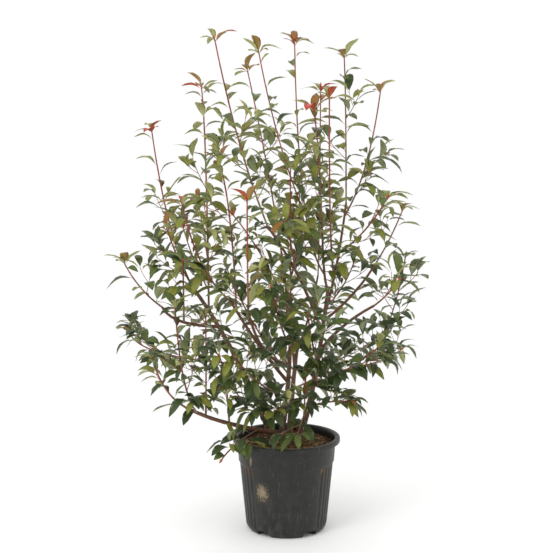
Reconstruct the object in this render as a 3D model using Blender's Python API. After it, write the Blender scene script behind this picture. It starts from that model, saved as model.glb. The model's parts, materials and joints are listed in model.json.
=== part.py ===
"""A multi-stemmed photinia shrub in a round nursery pot.

Metres, +Z up. The origin is the middle of the pot's flat underside, +X is to the right and
+Y to the back. The pot holds the soil. Four stems rise from the soil, boughs leave the stems,
and each mass of foliage is one leafy shoot with its side twigs and leaves in one solid.
"""

import math
import random
from collections import namedtuple

import bmesh
import bpy
import numpy as np
from mathutils.bvhtree import BVHTree

# Neighbouring pieces stay this far apart
JOINT_GAP = 0.0003

# Pot, whose front is at -Y
RIM_RADIUS = 0.165
POT_HEIGHT = 0.288
LIP_HEIGHT = 0.014
LIP_REACH = 0.014
WALL = 0.0028
BAND_TOP_RADIUS = 0.151
BAND_FOOT = 0.215
BAND_RADIUS = 0.1468
BODY_RADIUS = 0.1442
BASE_RADIUS = 0.1250
FOOT_RADIUS = 0.1150
EDGE_HEIGHT = 0.014
FLOOR = 0.005
HAUNCH_RADIUS = 0.090
HAUNCH_HEIGHT = 0.019
BACK_ANGLE = 90.0
FLUTE_GROUPS = 3
FLUTES_A_GROUP = 4
FLUTE_PITCH = 8.0
FLUTE_DEPTH = 0.0022
PLAIN_STEPS = 6
NOTCHES = 5
NOTCH_WIDTH = (0.040, 0.026)
NOTCH_HEIGHT = 0.013
NOTCH_DEPTH = 0.030
NOTCH_HEEL = 0.8
CUT_OVERSHOOT = 0.010

# Soil
SOIL_TOP = 0.263
SOIL_RELIEF = 0.006
LEVEL_RADIUS = 0.095
SOIL_RINGS = (0.132, 0.112)

# Points read along a curve to measure it, or to claim the space round it
CURVE_SAMPLES = 25

# Limbs: each pair of radii is at the foot and at the tip
STEM_RADII = (0.0095, 0.0052)
FLARE = 0.0035
FLARE_HEIGHT = 0.018
BOUGH_FOOT = 0.78
BOUGH_TIP = 0.72
SHOOT_RADII = (0.0030, 0.0018)
TWIG_RADII = (0.0019, 0.0015)
STEM_SIDES = 8
BOUGH_SIDES = 6
SHOOT_SIDES = 3
RING_SPACING = 0.090
FOOT_OVERLAP = 0.006
FOOT_STATIONS = (0.035, 0.09)

# Leaves: the width, widest place, thickness, arch and fold are shares of the length
LEAF_LENGTH = 0.084
LEAF_WIDTH = 0.45
LEAF_WIDEST = 0.55
LEAF_THICKNESS = 0.020
LEAF_ARCH = 0.12
LEAF_FOLD = 0.05
LEAF_SPACING = 0.056
LEAF_ANGLE = 58.0
LEAF_ANGLE_SPREAD = 8.0
LEAF_SIZES = (0.85, 1.08)
LEAF_TAPER = 0.25
LEAF_FOLLOW = 0.3
LEAF_TURNS = (0.0, 45.0, -45.0, 90.0, -90.0)
LEAF_FLATTEN = 0.55
LEAF_DROOP = 0.25
LEAF_TILT = 0.7
LAST_LEAF = 0.97
END_LEAF_AT = 0.985
END_LEAF_ANGLE = 34.0
END_LEAF_SHARE = 0.72
END_LEAF_TILT = (0.0, 0.1)
ROOT_SHARE = 0.2
CLEARANCE = 0.0012
TURN = 137.5
SEED = 7

# Side twigs
TWIG_LENGTH = 0.085
TWIG_FIRST = 0.14
TWIG_BARE = 0.2
TWIG_SWEEP = 0.58
TWIG_AHEAD = 0.60
TWIG_ASIDE = 0.75
TWIG_RISE = 0.25
TWIG_SIZES = (0.8, 1.1)
TWIG_TURNS = (0.0, 60.0, -60.0)
TWIG_END_LEAVES = 1
STEM_END_LEAVES = 2

# Each finish is a colour and a roughness
POT_FINISH = ("2C2C2A", 0.55)
SOIL_FINISH = ("6B4C33", 0.95)
STEM_FINISH = ("5A4334", 0.85)
BOUGH_FINISH = ("6A4A3A", 0.80)
LEAF_ROUGHNESS = 0.45

# How a mass grows: the bare share of its stem, how far apart its side twigs are, how far up its
# stem they reach, and its colour.
Habit = namedtuple("Habit", "bare twig_spacing twig_top colour")
WHIP_HABIT = Habit(0.12, 0.150, 0.42, "5E7038")
SHOOT_HABIT = Habit(0.10, 0.130, 0.60, "4E6A3A")
SPRAY_HABIT = Habit(0.14, 0.085, 0.80, "3C5A38")

# Each stem: where it stands on the soil, where its tip is, and how it sweeps. A sweep of 0.5 is
# straight, a greater one goes outwards first and then up, a smaller one up first and then out.
Stem = namedtuple("Stem", "name ground tip sweep")
STEMS = (
    Stem("stem_centre", (-0.020, 0.045), (0.015, 0.020, 0.650), 0.74),
    Stem("stem_right", (0.040, 0.035), (0.125, 0.000, 0.740), 0.63),
    Stem("stem_left", (-0.045, 0.062), (-0.295, 0.080, 0.745), 0.42),
    Stem("stem_back", (0.010, 0.074), (0.035, 0.165, 0.520), 0.35),
)

# Each limb above: what it springs from, how far along that, where its own tip is, and its sweep.
Limb = namedtuple("Limb", "name parent at tip sweep")
BOUGHS = (
    Limb("bough_low_left", "stem_centre", 0.10, (-0.300, -0.100, 0.400), 0.62),
    Limb("bough_mid", "stem_right", 1.00, (0.105, -0.060, 0.930), 0.80),
    Limb("bough_right", "stem_right", 0.88, (0.180, 0.020, 1.005), 0.62),
    Limb("bough_tall", "stem_right", 0.77, (-0.055, -0.120, 0.940), 0.41),
    Limb("bough_low_right", "stem_right", 0.66, (0.255, -0.120, 0.710), 0.40),
    Limb("bough_out_right", "stem_right", 0.84, (0.275, 0.080, 0.810), 0.60),
    Limb("bough_far_left", "stem_centre", 0.60, (-0.165, -0.100, 0.720), 0.55),
    Limb("bough_inner_left", "stem_centre", 0.72, (-0.110, -0.220, 0.705), 0.75),
    Limb("bough_west", "stem_left", 0.70, (-0.380, 0.020, 0.685), 0.85),
    Limb("bough_back_left", "stem_back", 0.76, (-0.015, 0.220, 0.835), 0.45),
    Limb("bough_back_right", "stem_back", 1.00, (0.105, 0.260, 0.755), 0.60),
)

WHIPS = (
    Limb("whip_far_left", "stem_left", 1.00, (-0.415, 0.100, 1.225), 0.66),
    Limb("whip_left", "stem_left", 0.81, (-0.270, 0.240, 1.360), 0.20),
    Limb("whip_tall_left", "bough_tall", 1.00, (-0.205, -0.160, 1.475), 0.59),
    Limb("whip_back_left", "bough_back_left", 1.00, (-0.125, 0.280, 1.420), 0.45),
    Limb("whip_centre_left", "bough_mid", 0.75, (-0.085, 0.030, 1.460), 0.63),
    Limb("whip_tallest", "bough_mid", 0.42, (0.025, 0.140, 1.500), 0.87),
    Limb("whip_right", "bough_right", 1.00, (0.170, 0.000, 1.435), 0.25),
    Limb("whip_right_front", "bough_right", 0.40, (0.120, -0.140, 1.320), 0.92),
    Limb("whip_outer_right", "bough_right", 0.90, (0.290, 0.120, 1.345), 0.69),
    Limb("whip_centre_front", "bough_mid", 1.00, (0.075, -0.200, 1.270), 0.35),
    Limb("whip_back_centre", "bough_back_right", 1.00, (0.110, 0.240, 1.360), 0.80),
    Limb("whip_centre", "stem_centre", 0.93, (0.010, -0.080, 1.110), 0.80),
    Limb("whip_mid_left", "stem_centre", 1.00, (-0.165, 0.120, 0.960), 0.40),
    Limb("whip_left_front", "stem_left", 0.93, (-0.350, -0.100, 0.930), 0.59),
    Limb("whip_left_centre", "bough_far_left", 0.90, (-0.200, -0.060, 1.130), 0.25),
    Limb("whip_far_left_end", "bough_far_left", 1.00, (-0.295, -0.240, 1.015), 0.70),
    Limb("whip_inner_left", "bough_inner_left", 1.00, (-0.110, -0.340, 1.030), 0.92),
)
SHOOTS = (
    Limb("shoot_right_front", "bough_right", 0.60, (0.285, -0.160, 1.025), 0.61),
    Limb("shoot_right_upper", "bough_out_right", 1.00, (0.360, 0.120, 0.970), 0.56),
    Limb("shoot_right_mid", "bough_low_right", 1.00, (0.315, -0.200, 0.790), 0.57),
    Limb("shoot_red_front", "bough_tall", 0.55, (-0.005, -0.340, 0.970), 0.45),
    Limb("shoot_west", "bough_west", 1.00, (-0.485, -0.040, 0.825), 0.62),
    Limb("shoot_west_up", "bough_west", 0.45, (-0.295, -0.220, 0.850), 0.50),
    Limb("shoot_low_end", "bough_low_left", 1.00, (-0.395, -0.140, 0.560), 0.72),
    Limb("shoot_low_front", "bough_low_left", 0.86, (-0.315, -0.260, 0.725), 0.77),
    Limb("shoot_low_mid", "bough_low_left", 0.76, (-0.245, -0.020, 0.665), 0.92),
)
SPRAYS = (
    Limb("spray_right_low", "stem_right", 0.51, (0.365, 0.140, 0.530), 0.80),
    Limb("spray_right_front", "stem_right", 0.45, (0.265, -0.200, 0.605), 0.59),
    Limb("spray_foot_right", "stem_right", 0.28, (0.190, -0.100, 0.420), 0.35),
    Limb("spray_foot_front", "stem_right", 0.12, (0.055, -0.130, 0.510), 0.60),
    Limb("spray_middle", "stem_centre", 0.24, (-0.020, -0.110, 0.430), 0.62),
    Limb("spray_middle_left", "stem_left", 0.16, (-0.160, 0.080, 0.410), 0.70),
    Limb("spray_inner_low", "stem_centre", 0.48, (-0.145, -0.300, 0.590), 0.61),
    Limb("spray_front", "stem_centre", 0.84, (-0.045, -0.320, 0.790), 0.61),
    Limb("spray_front_right", "stem_right", 0.58, (0.055, -0.340, 0.715), 0.56),
    Limb("spray_west_low", "stem_left", 0.45, (-0.495, 0.140, 0.580), 0.90),
    Limb("spray_low_front", "bough_low_left", 0.50, (-0.190, -0.320, 0.600), 0.30),
    Limb("spray_over_rim", "bough_low_left", 0.22, (-0.190, -0.165, 0.262), 0.72),
    Limb("spray_back_right", "bough_back_right", 0.44, (0.225, 0.330, 0.785), 0.70),
    Limb("spray_back_centre", "bough_back_left", 0.37, (-0.005, 0.375, 0.785), 0.80),
    Limb("spray_back_left", "stem_back", 0.60, (-0.195, 0.340, 0.765), 0.60),
    Limb("spray_back_low", "stem_back", 0.72, (-0.060, 0.370, 0.500), 0.35),
    Limb("spray_back_low_right", "stem_back", 0.50, (0.200, 0.310, 0.510), 0.80),
)
# A fork is part of the mass that it springs from.
FORKS = (
    Limb("spray_foot_front_fork", "spray_foot_front", 0.30, (0.030, -0.150, 0.330), 0.60),
    Limb("spray_middle_fork", "spray_middle", 0.35, (-0.085, -0.150, 0.400), 0.60),
    Limb("spray_middle_left_fork", "spray_middle_left", 0.40, (-0.110, 0.170, 0.430), 0.60),
    Limb("spray_right_low_fork", "spray_right_low", 0.42, (0.360, 0.000, 0.845), 0.70),
    Limb("whip_left_fork", "whip_left", 0.14, (-0.290, 0.310, 1.000), 0.44),
    Limb("whip_left_low_fork", "whip_left", 0.06, (-0.335, 0.270, 0.910), 0.60),
    Limb("whip_centre_fork", "whip_centre", 0.50, (0.040, 0.060, 1.055), 0.90),
    Limb("spray_back_left_fork", "spray_back_left", 0.35, (-0.285, 0.260, 0.625), 0.80),
)


def linear(channel):
    """One sRGB channel, 0 to 1, as linear light."""
    return channel / 12.92 if channel <= 0.04045 else ((channel + 0.055) / 1.055) ** 2.4


def make_material(name, colour, roughness):
    material = bpy.data.materials.new(name)
    material.use_nodes = True
    shader = material.node_tree.nodes["Principled BSDF"]
    channels = [linear(int(colour[i : i + 2], 16) / 255) for i in (0, 2, 4)]
    shader.inputs["Base Color"].default_value = (*channels, 1.0)
    shader.inputs["Roughness"].default_value = roughness
    shader.inputs["Metallic"].default_value = 0.0
    return material


def make_object(name, points, faces):
    mesh = bpy.data.meshes.new(name)
    mesh.from_pydata([tuple(map(float, point)) for point in points], [], faces)
    mesh.update()
    obj = bpy.data.objects.new(name, mesh)
    bpy.context.scene.collection.objects.link(obj)
    return obj


def finish(obj, colour, roughness):
    obj.data.materials.clear()
    obj.data.materials.append(make_material(obj.name, colour, roughness))
    return obj


def remove_object(obj):
    mesh = obj.data
    bpy.data.objects.remove(obj)
    bpy.data.meshes.remove(mesh)


def apply_modifiers(obj):
    """Replaces the object's mesh by what its modifiers make of it."""
    bpy.context.view_layer.update()
    graph = bpy.context.evaluated_depsgraph_get()
    made = bpy.data.meshes.new_from_object(obj.evaluated_get(graph))
    old = obj.data
    obj.modifiers.clear()
    obj.data = made
    bpy.data.meshes.remove(old)
    made.name = obj.name


def keep_main_body(obj):
    """Drops the loose scraps that a Boolean leaves beside the main body."""
    work = bmesh.new()
    work.from_mesh(obj.data)
    left = set(work.verts)
    bodies = []
    while left:
        body = {left.pop()}
        frontier = list(body)
        while frontier:
            vert = frontier.pop()
            near = {edge.other_vert(vert) for edge in vert.link_edges} & left
            left -= near
            body |= near
            frontier.extend(near)
        bodies.append(body)
    bodies.sort(key=len)
    scraps = [vert for body in bodies[:-1] for vert in body]
    bmesh.ops.delete(work, geom=scraps, context="VERTS")
    bmesh.ops.triangulate(work, faces=work.faces)
    work.to_mesh(obj.data)
    work.free()


def turned(profile, angles, inset=None):
    """A closed turned shape. The profile runs from the lower middle out and up and back to the
    middle. inset(row, column) is how far a point is moved in towards the axis."""
    columns = len(angles)
    points = [(0.0, 0.0, profile[0][1])]
    for row, (radius, height) in enumerate(profile[1:-1], start=1):
        for column, angle in enumerate(angles):
            reach = radius - (inset(row, column) if inset else 0.0)
            points.append((reach * math.cos(angle), reach * math.sin(angle), height))
    points.append((0.0, 0.0, profile[-1][1]))
    last = len(points) - 1
    faces = []
    for column in range(columns):
        after = (column + 1) % columns
        faces.append((0, 1 + after, 1 + column))
        for row in range(len(profile) - 3):
            low = 1 + row * columns
            high = low + columns
            faces.append((low + column, low + after, high + after, high + column))
        faces.append((last, last - columns + column, last - columns + after))
    return points, faces


def pot_angles():
    """The pot's columns: half a flute apart in the fluted groups, wider between them."""
    group = FLUTES_A_GROUP * FLUTE_PITCH
    sector = 360.0 / FLUTE_GROUPS
    angles = []
    grooves = []
    for index in range(FLUTE_GROUPS):
        start = BACK_ANGLE + index * sector - group / 2
        for half in range(2 * FLUTES_A_GROUP):
            angles.append(math.radians(start + half * FLUTE_PITCH / 2))
            grooves.append(half % 2 == 1)
        for step in range(PLAIN_STEPS):
            angles.append(math.radians(start + group + step * (sector - group) / PLAIN_STEPS))
            grooves.append(False)
    return angles, grooves


def pot_profiles():
    """The outer profile, from the underside's middle to the lip's inner edge, and the inner one."""
    lip_foot = POT_HEIGHT - LIP_HEIGHT
    hook = RIM_RADIUS - WALL
    outer = (
        (0.0, 0.0),
        (FOOT_RADIUS, 0.0),
        (BASE_RADIUS - 0.0035, EDGE_HEIGHT * 0.28),
        (BASE_RADIUS, EDGE_HEIGHT),
        (BASE_RADIUS + 0.0016, EDGE_HEIGHT * 2.0),
        (BODY_RADIUS - 0.0012, BAND_FOOT - 0.014),
        (BODY_RADIUS, BAND_FOOT - 0.002),
        (BAND_RADIUS, BAND_FOOT + 0.001),
        (BAND_TOP_RADIUS, lip_foot - 0.003),
        (BAND_TOP_RADIUS + 0.0012, POT_HEIGHT - 0.0055),
        (hook - 0.0008, POT_HEIGHT - 0.0050),
        (hook, lip_foot),
        (RIM_RADIUS, lip_foot + 0.001),
        (RIM_RADIUS, POT_HEIGHT - 0.0035),
        (RIM_RADIUS - 0.0035, POT_HEIGHT),
        (RIM_RADIUS - LIP_REACH + 0.0015, POT_HEIGHT),
    )
    inner = (
        (BAND_TOP_RADIUS - WALL, POT_HEIGHT - 0.004),
        (BAND_RADIUS - WALL, BAND_FOOT + 0.001),
        (BODY_RADIUS - FLUTE_DEPTH - WALL, BAND_FOOT - 0.004),
        (BASE_RADIUS - FLUTE_DEPTH - WALL, HAUNCH_HEIGHT),
        (HAUNCH_RADIUS, FLOOR),
        (0.0, FLOOR),
    )
    return outer, inner


def notch_cutter(angle):
    """A wedge that opens outwards and downwards, narrower at its top."""
    mouth = BASE_RADIUS + CUT_OVERSHOOT
    heel = BASE_RADIUS - NOTCH_DEPTH
    below = -0.4 * CUT_OVERSHOOT
    rows = (
        (heel, 0.0, NOTCH_HEEL),
        (mouth, NOTCH_HEIGHT * (mouth - heel) / NOTCH_DEPTH, 1.0),
        (mouth, below, 1.0),
        (heel, below, NOTCH_HEEL),
    )
    points = []
    for side in (-1, 1):
        for reach, height, share in rows:
            width = NOTCH_WIDTH[1] if height > 0 else NOTCH_WIDTH[0]
            across = side * share * width / 2
            x = reach * math.cos(angle) - across * math.sin(angle)
            y = reach * math.sin(angle) + across * math.cos(angle)
            points.append((x, y, height))
    faces = [(0, 1, 2, 3), (7, 6, 5, 4)]
    faces += [(i, i + 4, (i + 1) % 4 + 4, (i + 1) % 4) for i in range(4)]
    cutter = make_object("notch_cutter", points, faces)
    work = bmesh.new()
    work.from_mesh(cutter.data)
    bmesh.ops.recalc_face_normals(work, faces=work.faces)
    work.to_mesh(cutter.data)
    work.free()
    return cutter


def make_pot():
    angles, grooves = pot_angles()
    outer, inner = pot_profiles()
    fluted = (4, 5)

    def inset(row, column):
        return FLUTE_DEPTH if row in fluted and grooves[column] else 0.0

    pot = make_object("pot", *turned(outer + inner, angles, inset))
    cutters = []
    for index in range(NOTCHES):
        cutter = notch_cutter(math.radians(BACK_ANGLE + index * 360.0 / NOTCHES))
        cutters.append(cutter)
        cut = pot.modifiers.new("Notch", "BOOLEAN")
        cut.operation = "DIFFERENCE"
        cut.object = cutter
    apply_modifiers(pot)
    for cutter in cutters:
        remove_object(cutter)
    return finish(pot, *POT_FINISH)


def soil_height(x, y):
    """Level where the stems stand, and gently uneven between there and the pot's wall."""
    away = (math.hypot(x, y) - LEVEL_RADIUS) / (RIM_RADIUS - LEVEL_RADIUS)
    uneven = math.sin(61 * x + 1.3) + math.sin(53 * y + 0.4) + math.sin(38 * (x + y))
    return SOIL_TOP + SOIL_RELIEF * uneven * min(max(away, 0.0), 1.0)


def make_soil():
    angles, _ = pot_angles()
    _, inner = pot_profiles()
    side = [(radius - 1.4 * JOINT_GAP, height + JOINT_GAP) for radius, height in reversed(inner[1:])]
    side[0] = (0.0, side[0][1])
    slope = (inner[0][0] - inner[1][0]) / (inner[0][1] - inner[1][1])
    brim = side[-1][0] + slope * (SOIL_TOP - side[-1][1])
    rings = (brim, *SOIL_RINGS, LEVEL_RADIUS)
    profile = side + [(radius, SOIL_TOP) for radius in rings] + [(0.0, SOIL_TOP)]
    points, faces = turned(profile, angles)
    top = SOIL_TOP - JOINT_GAP
    inside = [i for i, point in enumerate(points) if point[2] > top]
    for i in inside:
        x, y, _ = points[i]
        if math.hypot(x, y) < brim - JOINT_GAP:
            points[i] = (x, y, soil_height(x, y))
    return finish(make_object("soil", points, faces), *SOIL_FINISH)


# A limb's centreline. Its tube has a ring at each station and runs straight between them, and a
# grounded one starts with a level ring and a flare.
Path = namedtuple("Path", "start control end stations grounded")


def curve_point(start, control, end, t):
    return (1 - t) ** 2 * start + 2 * t * (1 - t) * control + t * t * end


def sweep_path(start, tip, sweep, grounded=False):
    """A quadratic curve in one upright plane, from start to tip."""
    start = np.array(start, float)
    tip = np.array(tip, float)
    control = start + (tip - start) * (sweep, sweep, 1.0 - sweep)
    points = [curve_point(start, control, tip, t) for t in np.linspace(0.0, 1.0, CURVE_SAMPLES)]
    length = np.linalg.norm(np.diff(points, axis=0), axis=1).sum()
    runs = max(1, math.ceil(length / RING_SPACING))
    stations = [run / runs for run in range(runs + 1)]
    if grounded:
        stations[1:1] = FOOT_STATIONS
    return Path(start, control, tip, stations, grounded)


def point_at(path, t):
    """The point at t on the straight runs between the path's stations."""
    after = next(index for index, station in enumerate(path.stations) if index and station >= t)
    low, high = path.stations[after - 1 : after + 1]
    first = curve_point(path.start, path.control, path.end, low)
    last = curve_point(path.start, path.control, path.end, high)
    return first + (last - first) * (t - low) / (high - low)


def heading_at(path, t):
    slope = (1 - t) * (path.control - path.start) + t * (path.end - path.control)
    return slope / np.linalg.norm(slope)


def length_of(path):
    points = np.array([point_at(path, t) for t in path.stations])
    return float(np.linalg.norm(np.diff(points, axis=0), axis=1).sum())


def radius_at(radii, t):
    return radii[0] + (radii[1] - radii[0]) * t


def level_side(path):
    """The level direction square to the path's upright plane."""
    across = path.end - path.start
    side = np.array((-across[1], across[0], 0.0))
    return side / np.linalg.norm(side)


def tube(path, radii, sides, extend=(0.0, 0.0)):
    """A tapering tube along the path, which extend lengthens past the start and the tip."""
    side = level_side(path)
    points = []
    for t in path.stations:
        heading = heading_at(path, t)
        centre = point_at(path, t)
        radius = radius_at(radii, t)
        if t == 0.0:
            centre = centre - heading * extend[0]
        if t == 1.0:
            centre = centre + heading * extend[1]
        if path.grounded:
            radius += FLARE * math.exp(-(centre[2] - SOIL_TOP) / FLARE_HEIGHT)
        if path.grounded and t == 0.0:
            heading = np.array((0.0, 0.0, 1.0))
        other = np.cross(heading, side)
        for corner in range(sides):
            angle = 2 * math.pi * corner / sides
            points.append(centre + radius * (math.cos(angle) * side + math.sin(angle) * other))
    faces = [tuple(reversed(range(sides)))]
    for ring in range(len(path.stations) - 1):
        low = ring * sides
        for corner in range(sides):
            after = (corner + 1) % sides
            faces.append((low + corner, low + after, low + sides + after, low + sides + corner))
    faces.append(tuple(range(len(points) - sides, len(points))))
    return points, faces


def parent_cutter(name, layout):
    """The limb's own tube, grown by the gap that its neighbours keep."""
    path, radii, sides = layout[name]
    grow = JOINT_GAP / math.cos(math.pi / sides)
    grown = (radii[0] + grow, radii[1] + grow)
    return make_object("joint_cutter", *tube(path, grown, sides, (0.0, JOINT_GAP)))


def make_limb(limb, layout):
    """A limb whose foot is cut to its parent's surface, the gap clear of it."""
    path, radii, sides = layout[limb.name]
    back = FOOT_OVERLAP if limb.at == 1.0 else 0.0
    obj = make_object(limb.name, *tube(path, radii, sides, (back, 0.0)))
    cutter = parent_cutter(limb.parent, layout)
    cut = obj.modifiers.new("Joint", "BOOLEAN")
    cut.operation = "DIFFERENCE"
    cut.object = cutter
    apply_modifiers(obj)
    remove_object(cutter)
    keep_main_body(obj)
    return obj


def lay_out():
    """Each limb's path, its radii at foot and tip, and its number of sides."""
    layout = {}
    for stem in STEMS:
        path = sweep_path((*stem.ground, SOIL_TOP + JOINT_GAP), stem.tip, stem.sweep, grounded=True)
        layout[stem.name] = (path, STEM_RADII, STEM_SIDES)
    for limb in BOUGHS + WHIPS + SHOOTS + SPRAYS + FORKS:
        parent_path, parent_radii, _ = layout[limb.parent]
        path = sweep_path(point_at(parent_path, limb.at), limb.tip, limb.sweep)
        foot = radius_at(parent_radii, limb.at) * BOUGH_FOOT
        if limb in BOUGHS:
            layout[limb.name] = (path, (foot, foot * BOUGH_TIP), BOUGH_SIDES)
        else:
            radii = (min(SHOOT_RADII[0], foot), SHOOT_RADII[1])
            layout[limb.name] = (path, radii, SHOOT_SIDES)
    return layout


class Growth:
    """Everything placed so far. Each twig and leaf is tried against it first."""

    def __init__(self):
        self.owners = []
        self.trees = []
        self.centres = []
        self.reaches = []
        self.stem_points = []
        self.stem_owners = []

    def place(self, owner, points, faces):
        points = np.array(points, float)
        centre = (points.min(axis=0) + points.max(axis=0)) / 2
        self.owners.append(owner)
        self.centres.append(centre)
        self.reaches.append(float(np.linalg.norm(points - centre, axis=1).max()))
        self.trees.append(BVHTree.FromPolygons(points.tolist(), faces))

    def place_object(self, obj):
        points = [tuple(vert.co) for vert in obj.data.vertices]
        self.place(obj.name, points, [tuple(face.vertices) for face in obj.data.polygons])

    def claim(self, owner, path):
        """Marks a stem whose surroundings are this mass's own space."""
        for t in np.linspace(0.0, 1.0, CURVE_SAMPLES):
            self.stem_points.append(point_at(path, t))
            self.stem_owners.append(owner)

    def in_own_space(self, owner, point):
        away = np.linalg.norm(np.array(self.stem_points) - point, axis=1)
        return self.stem_owners[int(away.argmin())] == owner

    def is_clear(self, owner, whole, outer):
        """Whether a shape misses everything: the whole of it what other nodes hold, and its outer
        part also what its own node holds."""
        points = np.array(whole[0])
        centre = (points.min(axis=0) + points.max(axis=0)) / 2
        reach = np.linalg.norm(points - centre, axis=1).max()
        away = np.linalg.norm(np.array(self.centres) - centre, axis=1)
        near = np.flatnonzero(away < np.array(self.reaches) + reach)
        whole_tree = BVHTree.FromPolygons(points.tolist(), whole[1])
        outer_tree = BVHTree.FromPolygons(np.array(outer[0]).tolist(), outer[1])
        for index in near:
            tree = outer_tree if self.owners[index] == owner else whole_tree
            if tree.overlap(self.trees[index]):
                return False
        return True


LEAF_FACES = (
    (0, 4, 1), (1, 4, 3), (3, 4, 2), (2, 4, 0),
    (0, 1, 5), (1, 3, 5), (3, 2, 5), (2, 0, 5),
)


def leaf_points(root, along, up, length, margin=0.0, start=0.0):
    """A folded, arching blade of eight triangles: root, left, right, tip, top and underside. The
    margin widens it all round, and start leaves out that share of it next to the root."""
    side = np.cross(along, up)
    side /= np.linalg.norm(side)
    lift = np.cross(side, along)
    middle = root + length * (LEAF_WIDEST * along + LEAF_ARCH * lift)
    half = side * (length * LEAF_WIDTH / 2 + margin)
    fold = lift * length * LEAF_FOLD
    thick = lift * (length * LEAF_THICKNESS / 2 + margin)
    foot = root + (middle - root) * start
    tip = root + along * (length + margin)
    return np.array(
        (foot, middle - half + fold, middle + half + fold, tip, middle + thick, middle - thick)
    )


def outward(path, t, turn):
    """The direction square to the path at t, turned by so many degrees about it."""
    side = level_side(path)
    other = np.cross(heading_at(path, t), side)
    angle = math.radians(turn)
    return math.cos(angle) * side + math.sin(angle) * other


def leaf_heading(path, t, turn, angle):
    """A leaf leaves its twig at an angle, spreads more level than upright, and hangs over."""
    lean = math.radians(angle)
    aside = outward(path, t, turn) * (1.0, 1.0, LEAF_FLATTEN)
    along = math.cos(lean) * heading_at(path, t) + math.sin(lean) * aside
    along[2] -= LEAF_DROOP
    return along / np.linalg.norm(along)


def try_leaf(growth, owner, path, t, turn, angle, length, tilt):
    """The leaf's points, or None where no turn of it stays clear and in its mass's own space."""
    root = point_at(path, t)
    up = heading_at(path, t) * LEAF_FOLLOW + (*tilt, 1.0)
    for aside in LEAF_TURNS:
        along = leaf_heading(path, t, turn + aside, angle)
        if not growth.in_own_space(owner, root + along * length / 2):
            continue
        whole = leaf_points(root, along, up, length, CLEARANCE)
        outer = leaf_points(root, along, up, length, CLEARANCE, ROOT_SHARE)
        if growth.is_clear(owner, (whole, LEAF_FACES), (outer, LEAF_FACES)):
            points = leaf_points(root, along, up, length)
            growth.place(owner, points, LEAF_FACES)
            return points
    return None


def leaves_along(growth, owner, path, bare, end_leaves, rng):
    """Leaves in a spiral from the bare foot to the tip, and smaller ones round the tip."""
    turn = rng.uniform(0.0, 360.0)
    found = []
    count = int(length_of(path) * (1.0 - bare) / LEAF_SPACING)
    for index in range(count):
        t = bare + (LAST_LEAF - bare) * (index + 0.5) / count
        turn += TURN
        size = LEAF_LENGTH * rng.uniform(*LEAF_SIZES) * (1.0 - LEAF_TAPER * t**6)
        angle = LEAF_ANGLE + rng.uniform(-LEAF_ANGLE_SPREAD, LEAF_ANGLE_SPREAD)
        tilt = (rng.uniform(-LEAF_TILT, LEAF_TILT), rng.uniform(-LEAF_TILT, LEAF_TILT))
        found.append(try_leaf(growth, owner, path, t, turn, angle, size, tilt))
    for index in range(end_leaves):
        turn += TURN
        size = LEAF_LENGTH * END_LEAF_SHARE
        end = (END_LEAF_AT, turn, END_LEAF_ANGLE, size, END_LEAF_TILT)
        found.append(try_leaf(growth, owner, path, *end))
    return [points for points in found if points is not None]


def try_twig(growth, owner, path, t, turn, length):
    """A side twig's path, or None where no turn of it stays clear and in its mass's own space."""
    start = point_at(path, t)
    wide = (TWIG_RADII[0] + CLEARANCE, TWIG_RADII[1] + CLEARANCE)
    for aside in TWIG_TURNS:
        away = outward(path, t, turn + aside) * (1.0, 1.0, LEAF_FLATTEN)
        reach = TWIG_AHEAD * heading_at(path, t) + TWIG_ASIDE * away + (0.0, 0.0, TWIG_RISE)
        tip = start + length * reach
        if not growth.in_own_space(owner, tip):
            continue
        twig = sweep_path(start, tip, TWIG_SWEEP)
        outer = sweep_path(point_at(twig, ROOT_SHARE), tip, TWIG_SWEEP)
        whole_tube = tube(twig, wide, SHOOT_SIDES)
        outer_tube = tube(outer, wide, SHOOT_SIDES)
        if growth.is_clear(owner, whole_tube, outer_tube):
            growth.place(owner, *tube(twig, TWIG_RADII, SHOOT_SIDES))
            return twig
    return None


def twigs_along(growth, owner, path, habit, rng):
    """Side twigs in a spiral up to the share of the stem that its habit gives."""
    length = length_of(path)
    turn = rng.uniform(0.0, 360.0)
    found = []
    for index in range(1 + int(length * (habit.twig_top - TWIG_FIRST) / habit.twig_spacing)):
        t = TWIG_FIRST + index * habit.twig_spacing / length
        turn += TURN
        size = TWIG_LENGTH * rng.uniform(*TWIG_SIZES)
        found.append(try_twig(growth, owner, path, t, turn, size))
    return [twig for twig in found if twig is not None]


def join(name, pieces):
    """One solid from overlapping closed shapes, by one union on their collection."""
    group = bpy.data.collections.new(name + "_pieces")
    for obj in pieces[1:]:
        bpy.context.scene.collection.objects.unlink(obj)
        group.objects.link(obj)
    base = pieces[0]
    union = base.modifiers.new("Union", "BOOLEAN")
    union.operation = "UNION"
    union.operand_type = "COLLECTION"
    union.collection = group
    apply_modifiers(base)
    for obj in pieces[1:]:
        remove_object(obj)
    bpy.data.collections.remove(group)
    keep_main_body(base)
    return base


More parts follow.
